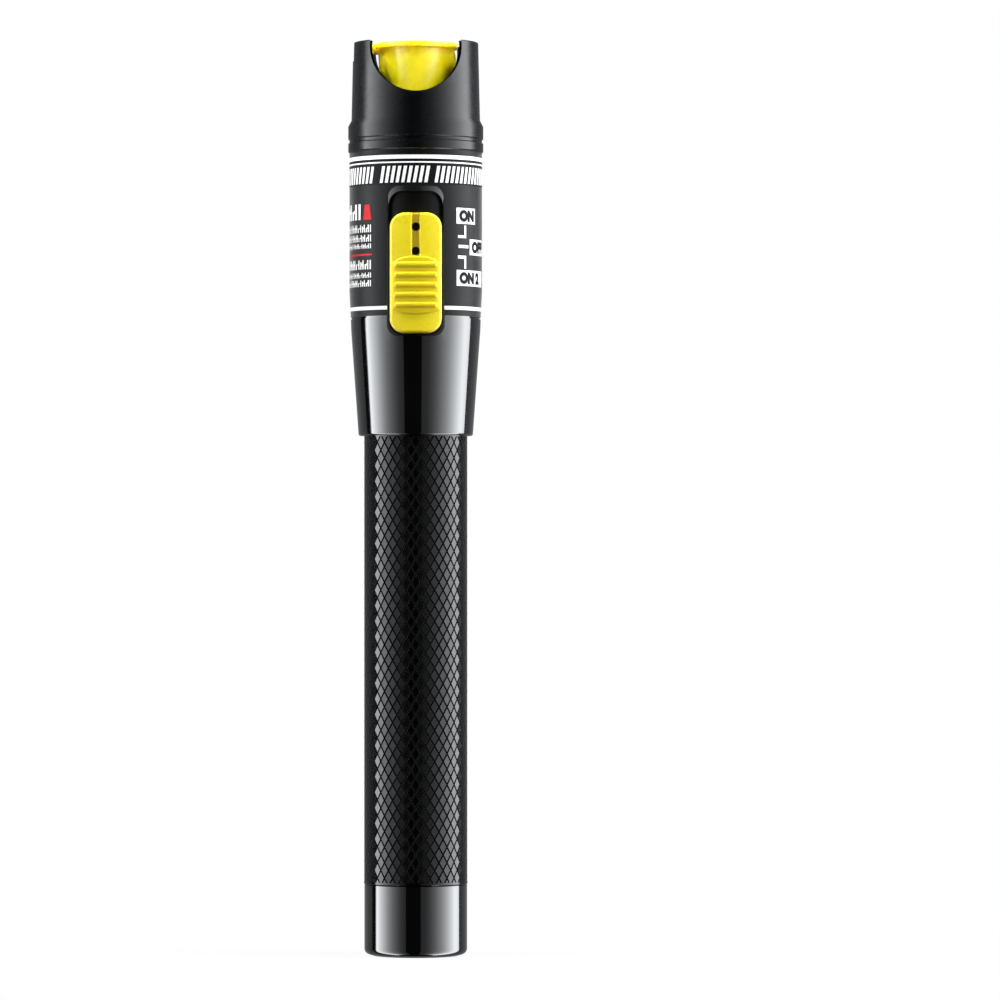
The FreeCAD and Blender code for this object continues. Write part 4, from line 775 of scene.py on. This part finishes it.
# Dark lips round the head's two cut-outs: a wide one behind, which narrows the view through the
# cup, and one in front that thins out towards the bottom

WINDOW_LEVEL = 173.8
WINDOW_RADIUS = 8.75
REAR_LIP = 0.9
REAR_LIP_SHIFT = 0.15
FRONT_LIP = 0.45
FRONT_LIP_BELOW = 0.05
LIP_INSIDE = 10.05
LIP_OUTSIDE = 11.6
LIP_TOP = 174.95
LIP_STEPS = 48


def make_lip(name, side, width, width_below, shift):
    """Bent strip along a cut-out; side is 1 behind and -1 in front."""
    flat = bmesh.new()
    start = math.asin((LIP_TOP - WINDOW_LEVEL) / WINDOW_RADIUS)
    sections = []
    for index in range(LIP_STEPS + 1):
        turn = start - (math.pi + 2 * start) * index / LIP_STEPS
        inner = WINDOW_RADIUS - width_below - (width - width_below) * math.cos(turn) ** 2
        corners = []
        for reach, distance in ((inner, LIP_INSIDE), (WINDOW_RADIUS, LIP_INSIDE),
                                (WINDOW_RADIUS, LIP_OUTSIDE), (inner, LIP_OUTSIDE)):
            across = reach * math.cos(turn) + (shift if reach == inner else 0.0)
            corners.append(flat.verts.new((across * MM, side * math.sqrt(distance ** 2 - across ** 2) * MM,
                                           (WINDOW_LEVEL + reach * math.sin(turn)) * MM)))
        sections.append(corners)
    for section, following in zip(sections, sections[1:]):
        for index in range(4):
            beside = (index + 1) % 4
            flat.faces.new((section[index], section[beside], following[beside], following[index]))
    flat.faces.new(sections[0])
    flat.faces.new(reversed(sections[-1]))
    bmesh.ops.recalc_face_normals(flat, faces=flat.faces[:])
    add_piece(name, as_mesh(flat, name), GROOVE_BLACK, "pen")


# Satin arch of the track's upper wall, just above the insert

ARCH_TOP = 146.95
ARCH_THICK = 0.95
ARCH_HALF = 5.4
ARCH_CORNER = 2.2
ARCH_INNER_CORNER = 2.6
ARCH_INSET = 0.12
ARCH_STEPS = 12


def make_arch():
    """Crescent between two round-cornered outlines, bent round the label."""
    def corner(half, top, radius, turn):
        return half - radius + radius * math.cos(turn), top - radius + radius * math.sin(turn)

    flat = bmesh.new()
    outer, inner = [], []
    for index in range(ARCH_STEPS + 1):
        turn = math.pi / 2 * index / ARCH_STEPS
        outer.append(corner(ARCH_HALF, ARCH_TOP, ARCH_CORNER, turn))
        inner.append(corner(ARCH_HALF - ARCH_INSET, ARCH_TOP - ARCH_THICK, ARCH_INNER_CORNER, turn))
    outer += [(-across, up) for across, up in reversed(outer)]
    inner += [(-across, up) for across, up in reversed(inner)]
    for index in range(len(outer) - 1):
        quad(flat, (inner[index], outer[index], outer[index + 1], inner[index + 1]))
    wrap(flat, "slot_arch", BEZEL_SATIN)


print_bands()
print_header()
print_positions()
print_rows()
make_knurl()
make_slider_face()
make_cap()
make_lip("window_lip_rear", 1, REAR_LIP, REAR_LIP, REAR_LIP_SHIFT)
make_lip("window_lip_front", -1, FRONT_LIP, FRONT_LIP_BELOW, 0.0)
make_arch()


# Studio: white floor and background, soft lamps, and cards that only show in reflections

FLOOR_HALF = 4
FLOOR_NOISE = 0.3
FLOOR_GREYS = ((0.78, 0.78, 0.78), (0.80, 0.80, 0.80))
# How much the floor glows by itself near the object and far from it, and where it changes over
FLOOR_GLOW = (0.93, 1.0)
FLOOR_FADE = (0.01, 0.12)


def add_floor():
    look = Shader("floor_white", Roughness=0.9, Specular_IOR_Level=0.1)
    look.colours(look.noise(FLOOR_NOISE), *FLOOR_GREYS)
    glow = look.node("Emission", Strength=1.0)
    mix = look.node("MixShader")
    distance = look.node("VectorMath", operation="LENGTH")
    look.link(look.place(), distance.inputs[0])
    share = look.ramp(distance.outputs["Value"], *FLOOR_GLOW, *FLOOR_FADE)
    look.link(share, mix.inputs["Fac"])
    look.link(look.shader.outputs["BSDF"], mix.inputs[1])
    look.link(glow.outputs["Emission"], mix.inputs[2])
    output = next(n for n in look.tree.nodes if n.type == "OUTPUT_MATERIAL")
    look.link(mix.outputs["Shader"], output.inputs["Surface"])
    flat = bmesh.new()
    bmesh.ops.create_grid(flat, x_segments=8, y_segments=8, size=FLOOR_HALF)
    mesh = as_mesh(flat, "floor")
    floor = bpy.data.objects.new("floor", mesh)
    floor.visible_glossy = False
    floor.visible_diffuse = False
    mesh.materials.append(look.material)
    bpy.context.scene.collection.objects.link(floor)


WORLD_FILL = 0.2
WORLD_IN_GLOSS = 0.02


def add_world():
    """White to the camera, dimmer in reflections and as fill light."""
    world = bpy.data.worlds.new("studio")
    bpy.context.scene.world = world
    world.use_nodes = True
    tree = world.node_tree
    background = next(n for n in tree.nodes if n.type == "BACKGROUND")
    background.inputs["Color"].default_value = (1, 1, 1, 1)
    path = tree.nodes.new("ShaderNodeLightPath")
    seen = tree.nodes.new("ShaderNodeMath")
    seen.operation = "MAXIMUM"
    tree.links.new(path.outputs["Is Camera Ray"], seen.inputs[0])
    tree.links.new(path.outputs["Is Transmission Ray"], seen.inputs[1])
    fill = tree.nodes.new("ShaderNodeMapRange")
    fill.inputs["To Min"].default_value = WORLD_FILL
    fill.inputs["To Max"].default_value = 1.0
    tree.links.new(seen.outputs[0], fill.inputs["Value"])
    glossy = tree.nodes.new("ShaderNodeMix")
    tree.links.new(path.outputs["Is Glossy Ray"], glossy.inputs[0])
    tree.links.new(fill.outputs["Result"], glossy.inputs[2])
    glossy.inputs[3].default_value = WORLD_IN_GLOSS
    tree.links.new(glossy.outputs[0], background.inputs["Strength"])


CARD_RADIUS = 0.45
CARD_FOOT = -1.2
CARD_HEIGHT = 1.6
CARD_STEP = 3
CARD_COLOUR = (0.945, 0.97, 1.0, 1)
# Glow of the cards at angles off the camera's direction
LEFT_GLOW = ((22, 0.3), (33, 0.55), (43, 1.2), (54, 2.2), (64, 3.9), (75, 6.6), (86, 9.3), (96, 12.2),
             (98.5, 11.0), (101, 2.0))
RIGHT_GLOW = ((11, 0.3), (23, 0.42), (33, 0.85), (43, 1.6), (54, 2.9), (64, 4.4), (75, 6.8), (86, 9.3),
              (97, 11.2), (105, 9.6), (113, 6.5))
BACK_GLOW = ((114, 0.28), (180, 0.28))


def glow_at(profile, angle):
    """Glow at an angle, from a table of angles and glows."""
    for (first, low), (last, high) in zip(profile, profile[1:]):
        if angle <= last:
            return low + (high - low) * (angle - first) / (last - first)
    return profile[-1][1]


def add_card(name, side, profile):
    """Tall bent card seen only in reflections; the profile lists its glow at angles off the
    camera's direction, to the right if side is 1 and to the left if it is -1."""
    near, far = profile[0][0], profile[-1][0]
    steps = int((far - near) / CARD_STEP)
    flat = bmesh.new()
    columns = []
    for index in range(steps + 1):
        angle = near + (far - near) * index / steps
        across = side * CARD_RADIUS * math.sin(math.radians(angle))
        depth = -CARD_RADIUS * math.cos(math.radians(angle))
        columns.append((glow_at(profile, angle), flat.verts.new((across, depth, CARD_FOOT)),
                        flat.verts.new((across, depth, CARD_HEIGHT))))
    glow_layer = flat.loops.layers.float.new("glow")
    for column, following in zip(columns, columns[1:]):
        face = flat.faces.new((column[1], following[1], following[2], column[2]))
        for loop, strength in zip(face.loops, (column[0], following[0], following[0], column[0])):
            loop[glow_layer] = strength
    mesh = as_mesh(flat, name)
    card = bpy.data.objects.new(name, mesh)
    bpy.context.scene.collection.objects.link(card)
    material = bpy.data.materials.new(name)
    material.use_nodes = True
    tree = material.node_tree
    tree.nodes.clear()
    emission = tree.nodes.new("ShaderNodeEmission")
    emission.inputs["Color"].default_value = CARD_COLOUR
    level = tree.nodes.new("ShaderNodeAttribute")
    level.attribute_name = "glow"
    output = tree.nodes.new("ShaderNodeOutputMaterial")
    tree.links.new(level.outputs["Fac"], emission.inputs["Strength"])
    tree.links.new(emission.outputs["Emission"], output.inputs["Surface"])
    mesh.materials.append(material)
    card.visible_camera = False
    card.visible_diffuse = False
    card.visible_shadow = False
    card.visible_transmission = False


# Soft lamps: angle off the camera's direction, height, distance, the lamp's own width and height, and power
LAMPS = {
    "lamp_left": (-42, 0.55, 0.9, 0.5, 0.8, 1.7),
    "lamp_right": (42, 0.55, 0.9, 0.5, 0.8, 2.25),
    "lamp_front": (0, 0.95, 0.9, 0.5, 0.4, 0.5),
    "lamp_side_left": (-82, 0.42, 0.9, 0.5, 0.5, 6.8),
    "lamp_side_right": (82, 0.42, 0.9, 0.5, 0.5, 11.5),
}
BACK_LAMP = (180, 0.60, 0.9, 0.6, 0.6, 4.0)
LAMP_AIM = 0.09
# Narrow lamps on the cap in its recess, which the others hardly reach: angle, height, distance and power
SPOTS = {
    "spot_cap_left": (-46, 0.35, 0.25, 0.0024),
    "spot_cap_right": (46, 0.35, 0.25, 0.0020),
    "spot_rim_left": (-66, 0.42, 0.145, 0.025),
    "spot_rim_right": (66, 0.42, 0.145, 0.024),
}
SPOT_AIM = 0.170
SPOT_SIZE = 0.04
SPOT_SPREAD = 24


def place_lamp(data, angle, height, distance, aim):
    """Hangs a lamp that lights the object from an angle but doesn't show in its gloss."""
    lamp = bpy.data.objects.new(data.name, data)
    turn = math.radians(angle)
    lamp.location = (distance * math.sin(turn), -distance * math.cos(turn), height)
    direction = Vector((0, 0, aim)) - lamp.location
    lamp.rotation_euler = direction.to_track_quat("-Z", "Y").to_euler()
    lamp.visible_glossy = False
    bpy.context.scene.collection.objects.link(lamp)


def add_lamp(name, angle, height, distance, width, tall, power):
    data = bpy.data.lights.new(name, "AREA")
    data.shape = "RECTANGLE"
    data.size = width
    data.size_y = tall
    data.energy = power
    place_lamp(data, angle, height, distance, LAMP_AIM)


def add_spot(name, angle, height, distance, power):
    data = bpy.data.lights.new(name, "AREA")
    data.size = SPOT_SIZE
    data.spread = math.radians(SPOT_SPREAD)
    data.energy = power
    place_lamp(data, angle, height, distance, SPOT_AIM)


add_floor()
add_world()
add_card("card_left", -1, LEFT_GLOW)
add_card("card_right", 1, RIGHT_GLOW)
add_card("card_back_left", -1, BACK_GLOW)
add_card("card_back_right", 1, BACK_GLOW)
for name, values in LAMPS.items():
    add_lamp(name, *values)
for name, values in SPOTS.items():
    add_spot(name, *values)
add_lamp("lamp_back", *BACK_LAMP)
